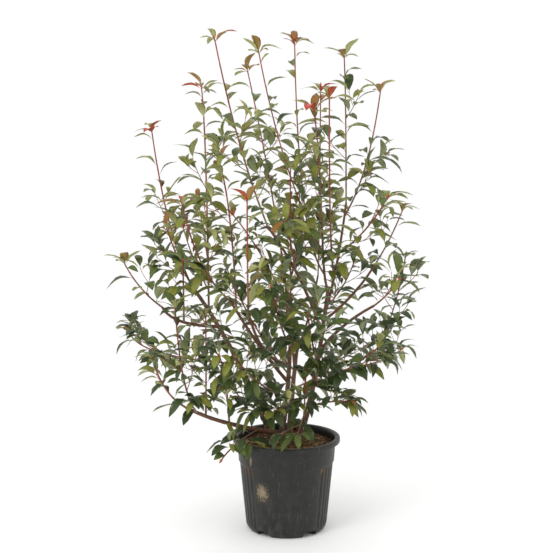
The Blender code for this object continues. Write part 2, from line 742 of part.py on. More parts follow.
def make_mass(limb, habit, stem, layout, growth, rng):
    """One mass of foliage: its stem with its forks, side twigs and leaves, in one solid."""
    name = limb.name
    pieces = [stem]
    leafy = [(layout[name][0], habit.bare, STEM_END_LEAVES)]
    for fork in FORKS:
        if fork.parent == name:
            path, radii, sides = layout[fork.name]
            pieces.append(make_object(fork.name, *tube(path, radii, sides)))
            leafy.append((path, habit.bare, STEM_END_LEAVES))
    for twig in twigs_along(growth, name, layout[name][0], habit, rng):
        pieces.append(make_object(name + "_twig", *tube(twig, TWIG_RADII, SHOOT_SIDES)))
        leafy.append((twig, TWIG_BARE, TWIG_END_LEAVES))
    for path, bare, end_leaves in leafy:
        for points in leaves_along(growth, name, path, bare, end_leaves, rng):
            pieces.append(make_object(name + "_leaf", points, LEAF_FACES))
    return join(name, pieces)


def make_wood(layout, growth):
    """The stems, and the boughs that leave them."""
    for stem in STEMS:
        path, radii, sides = layout[stem.name]
        obj = make_object(stem.name, *tube(path, radii, sides))
        growth.place_object(finish(obj, *STEM_FINISH))
    for bough in BOUGHS:
        growth.place_object(finish(make_limb(bough, layout), *BOUGH_FINISH))


def make_foliage(layout, growth):
    """Every mass's stem first, so that each mass knows its space, and then their leaves."""
    stems = {limb.name: make_limb(limb, layout) for limb in WHIPS + SHOOTS + SPRAYS}
    for name, stem in stems.items():
        growth.place_object(stem)
        growth.claim(name, layout[name][0])
    for fork in FORKS:
        path, radii, sides = layout[fork.name]
        growth.place(fork.parent, *tube(path, radii, sides))
        growth.claim(fork.parent, path)
    rng = random.Random(SEED)
    groups = ((WHIPS, WHIP_HABIT), (SHOOTS, SHOOT_HABIT), (SPRAYS, SPRAY_HABIT))
    for limbs, habit in groups:
        for limb in limbs:
            mass = make_mass(limb, habit, stems[limb.name], layout, growth, rng)
            finish(mass, habit.colour, LEAF_ROUGHNESS)


def main():
    for obj in list(bpy.data.objects):
        bpy.data.objects.remove(obj)
    growth = Growth()
    growth.place_object(make_pot())
    growth.place_object(make_soil())
    layout = lay_out()
    make_wood(layout, growth)
    make_foliage(layout, growth)


main()
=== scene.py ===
"""The visible surfaces of a young photinia shrub in a black nursery pot.

Metres, +Z up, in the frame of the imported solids. Stems, boughs and the stem of each mass follow the
solids. Side twigs, twiglets and leaves, slightly larger than life, grow on from them by the same
spiral rule.
"""
import json
import math
from collections import namedtuple

import bpy
import numpy as np
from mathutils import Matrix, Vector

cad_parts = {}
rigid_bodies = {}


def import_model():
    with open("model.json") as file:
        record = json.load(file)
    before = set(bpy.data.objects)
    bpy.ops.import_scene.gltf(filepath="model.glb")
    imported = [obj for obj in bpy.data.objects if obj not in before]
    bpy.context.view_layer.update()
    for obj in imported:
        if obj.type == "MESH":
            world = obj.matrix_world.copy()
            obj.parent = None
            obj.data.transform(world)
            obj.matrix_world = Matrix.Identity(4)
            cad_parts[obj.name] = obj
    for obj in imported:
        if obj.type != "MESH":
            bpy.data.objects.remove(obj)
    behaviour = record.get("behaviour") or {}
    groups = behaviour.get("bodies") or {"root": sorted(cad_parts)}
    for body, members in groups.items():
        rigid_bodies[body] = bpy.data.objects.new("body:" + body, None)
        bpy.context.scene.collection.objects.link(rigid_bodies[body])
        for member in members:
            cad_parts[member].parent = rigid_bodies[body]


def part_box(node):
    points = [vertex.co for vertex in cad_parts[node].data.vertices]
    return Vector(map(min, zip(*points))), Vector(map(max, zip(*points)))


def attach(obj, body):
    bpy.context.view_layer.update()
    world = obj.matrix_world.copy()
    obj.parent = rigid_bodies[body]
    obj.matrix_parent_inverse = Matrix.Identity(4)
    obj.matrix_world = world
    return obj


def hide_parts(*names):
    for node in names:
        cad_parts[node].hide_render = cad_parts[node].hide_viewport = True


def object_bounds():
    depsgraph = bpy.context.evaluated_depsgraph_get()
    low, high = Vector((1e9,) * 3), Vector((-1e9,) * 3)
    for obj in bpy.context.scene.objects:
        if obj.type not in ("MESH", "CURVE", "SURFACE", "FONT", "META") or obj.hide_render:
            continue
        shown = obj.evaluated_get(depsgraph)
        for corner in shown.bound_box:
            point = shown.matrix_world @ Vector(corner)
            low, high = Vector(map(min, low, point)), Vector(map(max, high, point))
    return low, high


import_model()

cad_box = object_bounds()
# A leaf's midline may pass the solids' own box by this much
BOX_MARGIN = 0.006
BOX_LOW = np.array(cad_box[0]) - BOX_MARGIN
BOX_HIGH = np.array(cad_box[1]) + BOX_MARGIN
FULL_TURN = 2 * math.pi
rng = np.random.default_rng(11)

# Pot: its height and its rim come from the solids, the rest from the photo
POT_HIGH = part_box("pot")[1]
POT_HEIGHT = POT_HIGH[2]
RIM_RADIUS = POT_HIGH[0]
POT_COLUMNS = 300
POT_ROW = 0.0035
WALL = 0.0028
LIP_HEIGHT = 0.014
LIP_REACH = 0.0145
LIP_HOLLOW = 0.0065
BAND_TOP_RADIUS = 0.151
BAND_FOOT = 0.215
BAND_RADIUS = 0.1468
BODY_RADIUS = 0.1442
BASE_RADIUS = 0.1250
FOOT_RADIUS = 0.1150
EDGE_HEIGHT = 0.014
HAUNCH_HEIGHT = 0.020
BACK_ANGLE = math.radians(90.0)

# Flutes: the slope and the slack tell the outer wall from the inner one, and grooves fade out
# between two depths under the band
FLUTE_DEPTH = 0.0028
FLUTE_GROUPS = 3
FLUTES_A_GROUP = 4
FLUTE_PITCH = math.radians(8.0)
GROUP_EDGE = (0.03, 0.01)
OUTER_SLOPE = 0.09
OUTER_SLACK = 0.002
GROOVE_FADE = (0.020, 0.008)
GROOVE_RISE = 0.010

# Notches under the foot: the ramp starts and ends so far inside the foot's edge
NOTCHES = 5
NOTCH_HALF_ANGLE = math.radians(10.5)
NOTCH_EDGE = 0.02
NOTCH_HEIGHT = 0.0155
NOTCH_RAMP = (0.050, 0.010)
NOTCH_REACH = 0.055
NOTCH_SQUEEZE = 0.08

SOIL_TOP = 0.263
SOIL_COLUMNS = 150
SOIL_RINGS = 60
CHIP_COUNT = 420
CHIP_REACH = 0.138
STRAW_COUNT = 520
STRAW_REACH = 0.130
STRAW_HEAP = (-0.055, -0.075)
STRAW_HEAP_SHARE = 0.55
STRAW_HEAP_SPREAD = (0.028, 0.024)
STRAW_EDGE = 0.128

# Limbs: each pair of radii is at the foot and at the tip. No foot is more than a share of its
# parent's radius there, and a bough's tip is a share of its own foot.
STEM_RADII = (0.0095, 0.0052)
STEM_FLARE = 0.0035
STEM_FLARE_HEIGHT = 0.018
BOUGH_FOOT = 0.78
BOUGH_TIP = 0.72
SHOOT_RADII = (0.0032, 0.0019)
TWIG_RADII = (0.0014, 0.0009)
TWIGLET_RADII = (0.0010, 0.0007)
OLD_BUD_STEP = 0.043
SHOOT_BUD_STEP = 0.024
BUD_TURN = 2.4

# Twigs: the shares of the length that lead ahead, outwards and up, the sweep, the turns in radians
# that are tried, and where along a twig
TWIG_AHEAD = 0.60
TWIG_OUT = 0.75
TWIG_UP = 0.25
TWIG_SWEEP = 0.58
TWIG_TURNS = (0.0, 1.05, -1.05)
TWIG_MIDDLE = 0.6
TWIG_SIZES = (0.75, 1.15)
# A plan: spacing, how far along they reach, and length
TWIGLET_PLAN = (0.0425, 0.9, 0.045)
# The shares of the length from which twigs and leaves grow
TWIGS_FROM = 0.10
TWIGLETS_FROM = 0.25
STEM_LEAVES_FROM = 0.07
TWIG_LEAVES_FROM = 0.15
TWIGLET_LEAVES_FROM = 0.30

# Leaves: the length is in metres. Width, stalk, arch, curl and fold are shares of it.
LEAF_LENGTH = 0.083
LEAF_SIZES = (0.72, 1.10)
LEAF_SHRINK = 0.30
LEAF_WIDTH = 0.37
PETIOLE = 0.13
PETIOLE_HALF = 0.05
LEAF_THICKNESS = 0.0007
LEAF_ARCH = 0.17
LEAF_CURL = 0.20
LEAF_FOLD = 0.30
LEAF_WAVE = 0.02
LEAF_ANGLE = 56.0
ANGLE_SPREAD = 14.0
# What leads outwards keeps this share of its rise
LEAF_FLATTEN = 0.55
LEAF_DROOP = 0.20
LEAF_TILT = 0.55
# Where in its step a leaf stands, where the last one does, and how far its top leans ahead
LEAF_PLACES = (0.3, 0.7)
LAST_LEAF = 0.97
TOP_LEAN = 0.3
# Leaves round a tip: how many, their share of a leaf's length, and how far they lean out at most
STEM_TIP = (5, 0.85, 66.0)
TWIG_TIP = (2, 0.90, 46.0)
TWIGLET_TIP = (2, 0.80, 46.0)
TIP_PLACE = 0.985
TIP_LEANS = (0.4, 1.0)
TIP_SIZES = (0.6, 1.1)
# The turns in degrees that a leaf may take, and the shares of its length that are tried
LEAF_TURNS = (0.0, 45.0, -45.0, 90.0, -90.0)
LEAF_TRIALS = (0.45, 0.75, 1.0)
LEAF_CLEARANCE = 0.004
POT_CLEARANCE = 0.006
RIM_CLEARANCE = 0.005
# From so far inside the rim on outwards, no leaf's midline hangs lower than the lowest
RIM_SHADE = 0.01
LOWEST_LEAF = 0.262
TURN = math.radians(137.5)
LEAF_STATIONS = 7
LEAF_COLUMNS = 5

# How a mass grows: leaf spacing, the plan of its twigs, the shares of leaves kept on its middle and
# near its tip, and the shares of dark, green, olive, bronze and red leaves at its foot, near its
# top and round its tip.
Habit = namedtuple("Habit", "leaf_step twig_plan kept top_kept low_mix high_mix tip_mix")
WHIP_HABIT = Habit(
    0.0225, (0.072, 0.58, 0.090), 0.86, 0.40,
    (0.34, 0.40, 0.26, 0.0, 0.0), (0.04, 0.24, 0.72, 0.0, 0.0), (0.0, 0.0, 0.45, 0.35, 0.20),
)
SHOOT_HABIT = Habit(
    0.025, (0.066, 0.66, 0.085), 0.88, 0.75,
    (0.44, 0.38, 0.18, 0.0, 0.0), (0.15, 0.40, 0.45, 0.0, 0.0), (0.0, 0.20, 0.70, 0.10, 0.0),
)
SPRAY_HABIT = Habit(
    0.028, (0.056, 0.84, 0.085), 0.92, 0.90,
    (0.62, 0.31, 0.07, 0.0, 0.0), (0.44, 0.40, 0.16, 0.0, 0.0), (0.20, 0.45, 0.33, 0.02, 0.0),
)
# The shares of a stem's length from which its middle and its top count
MIDDLE_STRETCH = 0.35
TOP_STRETCH = 0.78
# The top and the underside of each kind of leaf
LEAF_COLOURS = {
    "dark": ("3C4B28", "87906C"), "green": ("53622E", "96A072"), "olive": ("787C30", "AEB074"),
    "bronze": ("875C26", "A6854C"), "red": ("B0361E", "BC5A3C"),
}

Stem = namedtuple("Stem", "name ground tip sweep")
Limb = namedtuple("Limb", "name parent at tip sweep")


def limb_rows(*rows):
    return tuple(Limb(*row) for row in rows)


# Each stem: where it stands on the soil, its tip and its sweep (0.5 is straight, more is outwards
# first and then up). Each limb: what it springs from, how far along, its tip and its sweep.
STEMS = (
    Stem("stem_centre", (-0.02, 0.045), (0.015, 0.02, 0.65), 0.74),
    Stem("stem_right", (0.04, 0.035), (0.125, 0.0, 0.74), 0.63),
    Stem("stem_left", (-0.045, 0.062), (-0.295, 0.08, 0.745), 0.42),
    Stem("stem_back", (0.01, 0.074), (0.035, 0.165, 0.52), 0.35),
)
BOUGHS = limb_rows(
    ("bough_low_left", "stem_centre", 0.1, (-0.3, -0.1, 0.4), 0.62),
    ("bough_mid", "stem_right", 1.0, (0.105, -0.06, 0.93), 0.8),
    ("bough_right", "stem_right", 0.88, (0.18, 0.02, 1.005), 0.62),
    ("bough_tall", "stem_right", 0.77, (-0.055, -0.12, 0.94), 0.41),
    ("bough_low_right", "stem_right", 0.66, (0.255, -0.12, 0.71), 0.4),
    ("bough_out_right", "stem_right", 0.84, (0.275, 0.08, 0.81), 0.6),
    ("bough_far_left", "stem_centre", 0.6, (-0.165, -0.1, 0.72), 0.55),
    ("bough_inner_left", "stem_centre", 0.72, (-0.11, -0.22, 0.705), 0.75),
    ("bough_west", "stem_left", 0.7, (-0.38, 0.02, 0.685), 0.85),
    ("bough_back_left", "stem_back", 0.76, (-0.015, 0.22, 0.835), 0.45),
    ("bough_back_right", "stem_back", 1.0, (0.105, 0.26, 0.755), 0.6),
)
WHIPS = limb_rows(
    ("whip_far_left", "stem_left", 1.0, (-0.415, 0.1, 1.225), 0.66),
    ("whip_left", "stem_left", 0.81, (-0.27, 0.24, 1.36), 0.2),
    ("whip_tall_left", "bough_tall", 1.0, (-0.205, -0.16, 1.475), 0.59),
    ("whip_back_left", "bough_back_left", 1.0, (-0.125, 0.28, 1.42), 0.45),
    ("whip_centre_left", "bough_mid", 0.75, (-0.085, 0.03, 1.46), 0.63),
    ("whip_tallest", "bough_mid", 0.42, (0.025, 0.14, 1.5), 0.87),
    ("whip_right", "bough_right", 1.0, (0.17, 0.0, 1.435), 0.25),
    ("whip_right_front", "bough_right", 0.4, (0.12, -0.14, 1.32), 0.92),
    ("whip_outer_right", "bough_right", 0.9, (0.29, 0.12, 1.345), 0.69),
    ("whip_centre_front", "bough_mid", 1.0, (0.075, -0.2, 1.27), 0.35),
    ("whip_back_centre", "bough_back_right", 1.0, (0.11, 0.24, 1.36), 0.8),
    ("whip_centre", "stem_centre", 0.93, (0.01, -0.08, 1.11), 0.8),
    ("whip_mid_left", "stem_centre", 1.0, (-0.165, 0.12, 0.96), 0.4),
    ("whip_left_front", "stem_left", 0.93, (-0.35, -0.1, 0.93), 0.59),
    ("whip_left_centre", "bough_far_left", 0.9, (-0.2, -0.06, 1.13), 0.25),
    ("whip_far_left_end", "bough_far_left", 1.0, (-0.295, -0.24, 1.015), 0.7),
    ("whip_inner_left", "bough_inner_left", 1.0, (-0.11, -0.34, 1.03), 0.92),
)
SHOOTS = limb_rows(
    ("shoot_right_front", "bough_right", 0.6, (0.285, -0.16, 1.025), 0.61),
    ("shoot_right_upper", "bough_out_right", 1.0, (0.36, 0.12, 0.97), 0.56),
    ("shoot_right_mid", "bough_low_right", 1.0, (0.315, -0.2, 0.79), 0.57),
    ("shoot_red_front", "bough_tall", 0.55, (-0.005, -0.34, 0.97), 0.45),
    ("shoot_west", "bough_west", 1.0, (-0.485, -0.04, 0.825), 0.62),
    ("shoot_west_up", "bough_west", 0.45, (-0.295, -0.22, 0.85), 0.5),
    ("shoot_low_end", "bough_low_left", 1.0, (-0.395, -0.14, 0.56), 0.72),
    ("shoot_low_front", "bough_low_left", 0.86, (-0.315, -0.26, 0.725), 0.77),
    ("shoot_low_mid", "bough_low_left", 0.76, (-0.245, -0.02, 0.665), 0.92),
)
SPRAYS = limb_rows(
    ("spray_right_low", "stem_right", 0.51, (0.365, 0.14, 0.53), 0.8),
    ("spray_right_front", "stem_right", 0.45, (0.265, -0.2, 0.605), 0.59),
    ("spray_foot_right", "stem_right", 0.28, (0.19, -0.1, 0.42), 0.35),
    ("spray_foot_front", "stem_right", 0.12, (0.055, -0.13, 0.51), 0.6),
    ("spray_middle", "stem_centre", 0.24, (-0.02, -0.11, 0.43), 0.62),
    ("spray_middle_left", "stem_left", 0.16, (-0.16, 0.08, 0.41), 0.7),
    ("spray_inner_low", "stem_centre", 0.48, (-0.145, -0.3, 0.59), 0.61),
    ("spray_front", "stem_centre", 0.84, (-0.045, -0.32, 0.79), 0.61),
    ("spray_front_right", "stem_right", 0.58, (0.055, -0.34, 0.715), 0.56),
    ("spray_west_low", "stem_left", 0.45, (-0.495, 0.14, 0.58), 0.9),
    ("spray_low_front", "bough_low_left", 0.5, (-0.19, -0.32, 0.6), 0.3),
    ("spray_over_rim", "bough_low_left", 0.22, (-0.19, -0.165, 0.262), 0.72),
    ("spray_back_right", "bough_back_right", 0.44, (0.225, 0.33, 0.785), 0.7),
    ("spray_back_centre", "bough_back_left", 0.37, (-0.005, 0.375, 0.785), 0.8),
    ("spray_back_left", "stem_back", 0.6, (-0.195, 0.34, 0.765), 0.6),
    ("spray_back_low", "stem_back", 0.72, (-0.06, 0.37, 0.5), 0.35),
    ("spray_back_low_right", "stem_back", 0.5, (0.2, 0.31, 0.51), 0.8),
)
# A fork is part of the mass that it springs from, so a number is name enough
FORK_ROWS = (
    ("spray_foot_front", 0.3, (0.03, -0.15, 0.33), 0.6),
    ("spray_middle", 0.35, (-0.085, -0.15, 0.4), 0.6),
    ("spray_middle_left", 0.4, (-0.11, 0.17, 0.43), 0.6),
    ("spray_right_low", 0.42, (0.36, 0.0, 0.845), 0.7),
    ("whip_left", 0.14, (-0.29, 0.31, 1.0), 0.44),
    ("whip_left", 0.06, (-0.335, 0.27, 0.91), 0.6),
    ("whip_centre", 0.5, (0.04, 0.06, 1.055), 0.9),
    ("spray_back_left", 0.35, (-0.285, 0.26, 0.625), 0.8),
)
FORKS = tuple(Limb(number, *row) for number, row in enumerate(FORK_ROWS))
HABITS = [WHIP_HABIT] * len(WHIPS) + [SHOOT_HABIT] * len(SHOOTS) + [SPRAY_HABIT] * len(SPRAYS)

# Light, a white floor that fades out between two distances, and the photo's camera
FLOOR_REACH = 30.0
FLOOR_FADE = (0.3, 1.1)
LAMPS = (
    ("key", (-2.2, -2.6, 3.4), (0.0, 0.0, 0.8), 1.6, 60.0),
    ("fill", (3.0, -1.5, 2.2), (0.0, 0.0, 0.7), 2.5, 8.0),
    ("back", (0.5, 3.0, 3.0), (0.0, 0.0, 0.8), 2.0, 16.0),
)
CAMERA_PLACE = (-0.0307, -3.3, 1.17)
CAMERA_PITCH = math.radians(83.3)
CAMERA_LENS = 71.3


def linear(colour):
    """An sRGB hex colour as linear light with full alpha."""
    channels = [int(colour[i : i + 2], 16) / 255 for i in (0, 2, 4)]
    light = [c / 12.92 if c <= 0.04045 else ((c + 0.055) / 1.055) ** 2.4 for c in channels]
    return (*light, 1.0)


def add_node(tree, kind, inputs=(), **settings):
    """A node with its settings. Each input is a value or the socket it is linked from."""
    node = tree.nodes.new("ShaderNode" + kind)
    for name, value in settings.items():
        setattr(node, name, value)
    for key, value in dict(inputs).items():
        if isinstance(value, bpy.types.NodeSocket):
            tree.links.new(value, node.inputs[key])
        else:
            node.inputs[key].default_value = value
    return node


def new_material(name, colour, roughness, ior=1.5):
    """A Principled material of one colour, its tree and its shader."""
    material = bpy.data.materials.new(name)
    material.use_nodes = True
    tree = material.node_tree
    shader = tree.nodes["Principled BSDF"]
    shader.inputs["Base Color"].default_value = linear(colour)
    shader.inputs["Roughness"].default_value = roughness
    shader.inputs["IOR"].default_value = ior
    return material, tree, shader


def plain(roughness, **tones):
    """A material of one colour under each name."""
    return [new_material(name, colour, roughness)[0] for name, colour in tones.items()]


def share(tree, value, low, high):
    """0 at low, 1 at high, even between and held beyond."""
    return add_node(tree, "MapRange", {"Value": value, "From Min": low, "From Max": high}).outputs[0]


def spread(tree, value, low, high):
    """From low at 0 to high at 1, even between and held beyond."""
    return add_node(tree, "MapRange", {"Value": value, "To Min": low, "To Max": high}).outputs[0]


def calculate(tree, operation, *values):
    return add_node(tree, "Math", dict(enumerate(values)), operation=operation).outputs[0]


def blend(tree, factor, first, second):
    """A mix of two colours, each a socket or a linear value."""
    inputs = {0: factor, 6: first, 7: second}
    return add_node(tree, "Mix", inputs, data_type="RGBA").outputs[2]


def stretch(tree, scale, place=(0.0, 0.0, 0.0)):
    """Object coordinates moved by minus place and then scaled."""
    where = add_node(tree, "TexCoord").outputs["Object"]
    shift = tuple(-a * b for a, b in zip(place, scale))
    return add_node(tree, "Mapping", {"Vector": where, "Scale": scale, "Location": shift}).outputs[0]


def noise(tree, scale, detail=3.0, rough=0.55):
    """Soft noise with so many cells a metre along x, y and z."""
    inputs = {"Vector": stretch(tree, scale), "Scale": 1.0, "Detail": detail, "Roughness": rough}
    return add_node(tree, "TexNoise", inputs).outputs[0]


def cells(tree, scale):
    """How far the nearest scattered point is, with so many a metre along each axis."""
    inputs = {"Vector": stretch(tree, scale), "Scale": 1.0}
    return add_node(tree, "TexVoronoi", inputs).outputs["Distance"]


def distance(tree, scale, place=(0.0, 0.0, 0.0)):
    """How far a place is, with each axis scaled."""
    inputs = {0: stretch(tree, scale, place)}
    return add_node(tree, "VectorMath", inputs, operation="LENGTH").outputs[1]


def add_bump(tree, shader, height, depth, strength=1.0):
    inputs = {"Height": height, "Distance": depth, "Strength": strength}
    tree.links.new(add_node(tree, "Bump", inputs).outputs[0], shader.inputs["Normal"])


def make_piece(name, points, faces, materials, slots=None, smooth=True):
    """One object at the origin from an array of points, its faces and its materials."""
    mesh = bpy.data.meshes.new(name)
    mesh.from_pydata(points.reshape(-1, 3).tolist(), [], faces)
    for material in materials:
        mesh.materials.append(material)
    if slots is not None:
        mesh.polygons.foreach_set("material_index", np.asarray(slots, np.int32))
    mesh.polygons.foreach_set("use_smooth", np.full(len(mesh.polygons), smooth))
    mesh.update()
    obj = bpy.data.objects.new(name, mesh)
    bpy.context.scene.collection.objects.link(obj)
    return obj


def settle(obj, slot, *nodes):
    """The piece rides on the only body and stands for its solids. Its finish slot is not used."""
    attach(obj, "root")
    if nodes:
        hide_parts(*nodes)


def unit(vectors):
    return vectors / np.linalg.norm(vectors, axis=-1, keepdims=True)


# Quadratic curves as arrays: start, control and end are N by 3, foot and tip are the radii, and
# owner is the number of the mass that each belongs to.
Bundle = namedtuple("Bundle", "start control end foot tip owner")


def curve_at(bundle, t):
    """Points at shares t: (1 - t) squared of start, 2 t (1 - t) of control, t squared of end."""
    t = t[..., None]
    start, control, end = (part[:, None] for part in bundle[:3])
    return (1 - t) ** 2 * start + 2 * t * (1 - t) * control + t**2 * end


def radius_at(bundle, t):
    return bundle.foot[:, None] + (bundle.tip - bundle.foot)[:, None] * t


def heading_at(bundle, t):
    """The unit tangent at shares t."""
    t = t[..., None]
    start, control, end = (part[:, None] for part in bundle[:3])
    return unit((1 - t) * (control - start) + t * (end - control) + (0.0, 0.0, 1e-9))


def level_side(bundle):
    """The level unit vector square to each curve's upright plane."""
    across = bundle.end - bundle.start
    side = np.stack([-across[:, 1], across[:, 0] + 1e-7, 0.0 * across[:, 0]], axis=-1)
    return unit(side)


def lengths(bundle):
    points = curve_at(bundle, np.linspace(0.0, 1.0, 20)[None])
    return np.linalg.norm(np.diff(points, axis=1), axis=-1).sum(axis=1)


def sweep(start, tip, share_out):
    """Control points: start plus the way to the tip, times the sweep across and 1 - sweep up."""
    share_out = np.asarray(share_out, float)
    way = np.stack([share_out, share_out, 1.0 - share_out], axis=-1)
    return start + (tip - start) * way


def skin_faces(rings, sides, count=1):
    """Faces of closed skins whose points are their rings and then the middles of both ends: first
    all quads between rings, then the fans, with each skin's foot before its tip."""
    corner = np.arange(sides)
    after = (corner + 1) % sides
    low = (np.arange(rings - 1) * sides)[:, None]
    high = low + sides
    quads = np.stack([low + corner, low + after, high + after, high + corner], axis=-1)
    last = (rings - 1) * sides
    middle = np.full(sides, rings * sides)
    fans = np.concatenate([
        np.stack([middle, after, corner], axis=-1),
        np.stack([middle + 1, last + corner, last + after], axis=-1),
    ])
    offset = (np.arange(count) * (rings * sides + 2))[:, None, None]
    quads = (quads.reshape(-1, 4) + offset).reshape(-1, 4)
    return quads.tolist() + (fans + offset).reshape(-1, 3).tolist()


def tubes(bundle, rings, sides, relief=None):
    """Closed tapering tubes. Ring i is a circle square to its curve at share i / (rings - 1), its
    radius mixed from foot to tip and times 1 + relief(bundle, t, angle)."""
    t = np.linspace(0.0, 1.0, rings)[None]
    angle = np.arange(sides) * FULL_TURN / sides
    centre = curve_at(bundle, t)
    side = np.broadcast_to(level_side(bundle)[:, None], centre.shape)
    other = np.cross(heading_at(bundle, t), side)
    radius = radius_at(bundle, t)[..., None] * np.ones(sides)
    if relief is not None:
        radius = radius * (1.0 + relief(bundle, t[..., None], angle))
    ring = np.cos(angle)[:, None] * side[:, :, None] + np.sin(angle)[:, None] * other[:, :, None]
    skin = centre[:, :, None] + radius[..., None] * ring
    count = len(bundle.start)
    points = np.concatenate([skin.reshape(count, -1, 3), centre[:, [0, -1]]], axis=1)
    return points, skin_faces(rings, sides, count)


def gather(rows):
    """A bundle from rows of (start, control, end, foot radius, tip radius, owner)."""
    columns = [np.array(column, float) for column in zip(*rows)]
    return Bundle(*columns[:5], columns[5].astype(int))


def lay_out():
    """Each limb's row by name, by the rule of the solids. Masses are numbered from 0 on, and what
    belongs to none has -1."""
    rows = {}
    for stem in STEMS:
        start = np.array((*stem.ground, SOIL_TOP))
        control = sweep(start, np.array(stem.tip), stem.sweep)
        rows[stem.name] = (start, control, np.array(stem.tip), *STEM_RADII, -1)
    owner = -1
    for limb in BOUGHS + WHIPS + SHOOTS + SPRAYS + FORKS:
        parent = rows[limb.parent]
        start = curve_at(gather([parent]), np.array([[limb.at]]))[0, 0]
        tip = np.array(limb.tip)
        foot = (parent[3] + (parent[4] - parent[3]) * limb.at) * BOUGH_FOOT
        radii = (foot, foot * BOUGH_TIP)
        if limb not in BOUGHS:
            radii = (min(SHOOT_RADII[0], foot), SHOOT_RADII[1])
        if limb in FORKS:
            number = parent[5]
        elif limb in BOUGHS:
            number = -1
        else:
            owner += 1
            number = owner
        rows[limb.name] = (start, sweep(start, tip, limb.sweep), tip, *radii, number)
    return rows


LAYOUT = lay_out()


def bundle_of(limbs):
    return gather([LAYOUT[limb.name] for limb in limbs])


# Points along every limb, which twigs and leaves keep clear of, and the owner of each
ALL_LIMBS = bundle_of(STEMS + BOUGHS + WHIPS + SHOOTS + SPRAYS + FORKS)
LIMB_T = np.linspace(0.0, 1.0, 40)
LIMB_POINTS = curve_at(ALL_LIMBS, LIMB_T[None]).reshape(-1, 3)
LIMB_RADII = radius_at(ALL_LIMBS, LIMB_T).ravel()
LIMB_OWNERS = np.repeat(ALL_LIMBS.owner, len(LIMB_T))
MASS_POINTS = LIMB_POINTS[LIMB_OWNERS >= 0]
MASS_OWNERS = LIMB_OWNERS[LIMB_OWNERS >= 0]


def in_own_space(owner, points):
    """Whether the nearest mass stem to each point is the owner's."""
    away = np.linalg.norm(points[..., None, :] - MASS_POINTS, axis=-1)
    return MASS_OWNERS[away.argmin(axis=-1)] == owner


def clear_of_limbs(points):
    """Whether points stay off the limbs, the pot's wall and the soil, and don't hang too low."""
    away = np.linalg.norm(points[..., None, :] - LIMB_POINTS, axis=-1) - LIMB_RADII
    reach = np.hypot(points[..., 0], points[..., 1])
    height = points[..., 2]
    inner = BAND_RADIUS - WALL
    hangs = (reach > RIM_RADIUS - RIM_SHADE) & (height < LOWEST_LEAF)
    at_wall = (reach > inner - POT_CLEARANCE) & (reach < RIM_RADIUS + RIM_CLEARANCE)
    on_wall = at_wall & (height < POT_HEIGHT + POT_CLEARANCE)
    in_soil = (reach < inner) & (height < SOIL_TOP + POT_CLEARANCE)
    return (away.min(axis=-1) > LEAF_CLEARANCE) & ~on_wall & ~in_soil & ~hangs


def outward(bundle, t, turn):
    """The unit vector square to the curve, turned so far about it from its level side."""
    side = level_side(bundle)[:, None]
    other = np.cross(heading_at(bundle, t), side)
    return np.cos(turn)[..., None] * side + np.sin(turn)[..., None] * other


def side_twigs(bundle, plan_of, radii, bare):
    """Twigs in a spiral along each curve, from its bare share on, by its habit's plan. A twig that
    finds no turn in its mass's space and clear of the limbs is left out."""
    rows = []
    for index, length in enumerate(lengths(bundle)):
        one = Bundle(*(part[index : index + 1] for part in bundle))
        owner = one.owner[0]
        step, top, reach = plan_of(HABITS[owner])
        count = int(length * (top - bare) / step)
        turn = rng.uniform(0.0, FULL_TURN)
        for number in range(count):
            t = np.array([[bare + (number + 0.5) * (top - bare) / count]])
            start = curve_at(one, t)[0, 0]
            ahead = heading_at(one, t)[0, 0]
            size = reach * rng.uniform(*TWIG_SIZES)
            turn += TURN
            for aside in TWIG_TURNS:
                away = outward(one, t, np.array([[turn + aside]]))[0, 0] * (1.0, 1.0, LEAF_FLATTEN)
                way = size * (TWIG_AHEAD * ahead + TWIG_OUT * away + (0.0, 0.0, TWIG_UP))
                tip = start + way
                tried = np.array([start + TWIG_MIDDLE * way, tip])
                if in_own_space(owner, tip) and clear_of_limbs(tried).all():
                    rows.append((start, sweep(start, tip, TWIG_SWEEP), tip, *radii, owner))
                    break
    return gather(rows)


# Leaves as arrays: root, direction, top side and length of each, its kind, and its owner
Leaves = namedtuple("Leaves", "root along up length kind owner")


def join_leaves(found):
    return Leaves(*(np.concatenate(parts) for parts in zip(*found)))


def try_leaves(bundle, index, t, turn, angle, size, tilt, kinds):
    """Leaves at shares t of one curve. Each takes the first turn that stays clear."""
    one = Bundle(*(part[index : index + 1] for part in bundle))
    turns = turn[:, None] + np.radians(LEAF_TURNS)
    places = np.repeat(t, turns.shape[1])[None]
    ahead = heading_at(one, places)[0]
    away = outward(one, places, turns.reshape(1, -1))[0] * (1.0, 1.0, LEAF_FLATTEN)
    lean = np.repeat(angle, turns.shape[1])[:, None]
    along = np.cos(lean) * ahead + np.sin(lean) * away - (0.0, 0.0, LEAF_DROOP)
    along = unit(along).reshape(len(t), -1, 3)
    root = curve_at(one, t[None])[0]
    reaches = np.array(LEAF_TRIALS)[:, None, None, None]
    samples = root[:, None] + along * size[:, None, None] * reaches
    inside = ((samples > BOX_LOW) & (samples < BOX_HIGH)).all(axis=(0, -1))
    fits = inside & clear_of_limbs(samples).all(axis=0) & in_own_space(one.owner[0], samples[0])
    chosen = fits.argmax(axis=1)
    kept = fits.any(axis=1)
    up = heading_at(one, t[None])[0] * TOP_LEAN + tilt
    owners = np.full(len(t), one.owner[0])
    picked = along[np.arange(len(t)), chosen]
    return Leaves(*(part[kept] for part in (root, picked, up, size, kinds, owners)))


def deal_kinds(mixes):
    """A leaf colour's number for each row of shares."""
    edges = np.cumsum(mixes, axis=1)
    draws = rng.uniform(0.0, 1.0, len(mixes)) * edges[:, -1]
    return (draws[:, None] > edges).sum(axis=1)


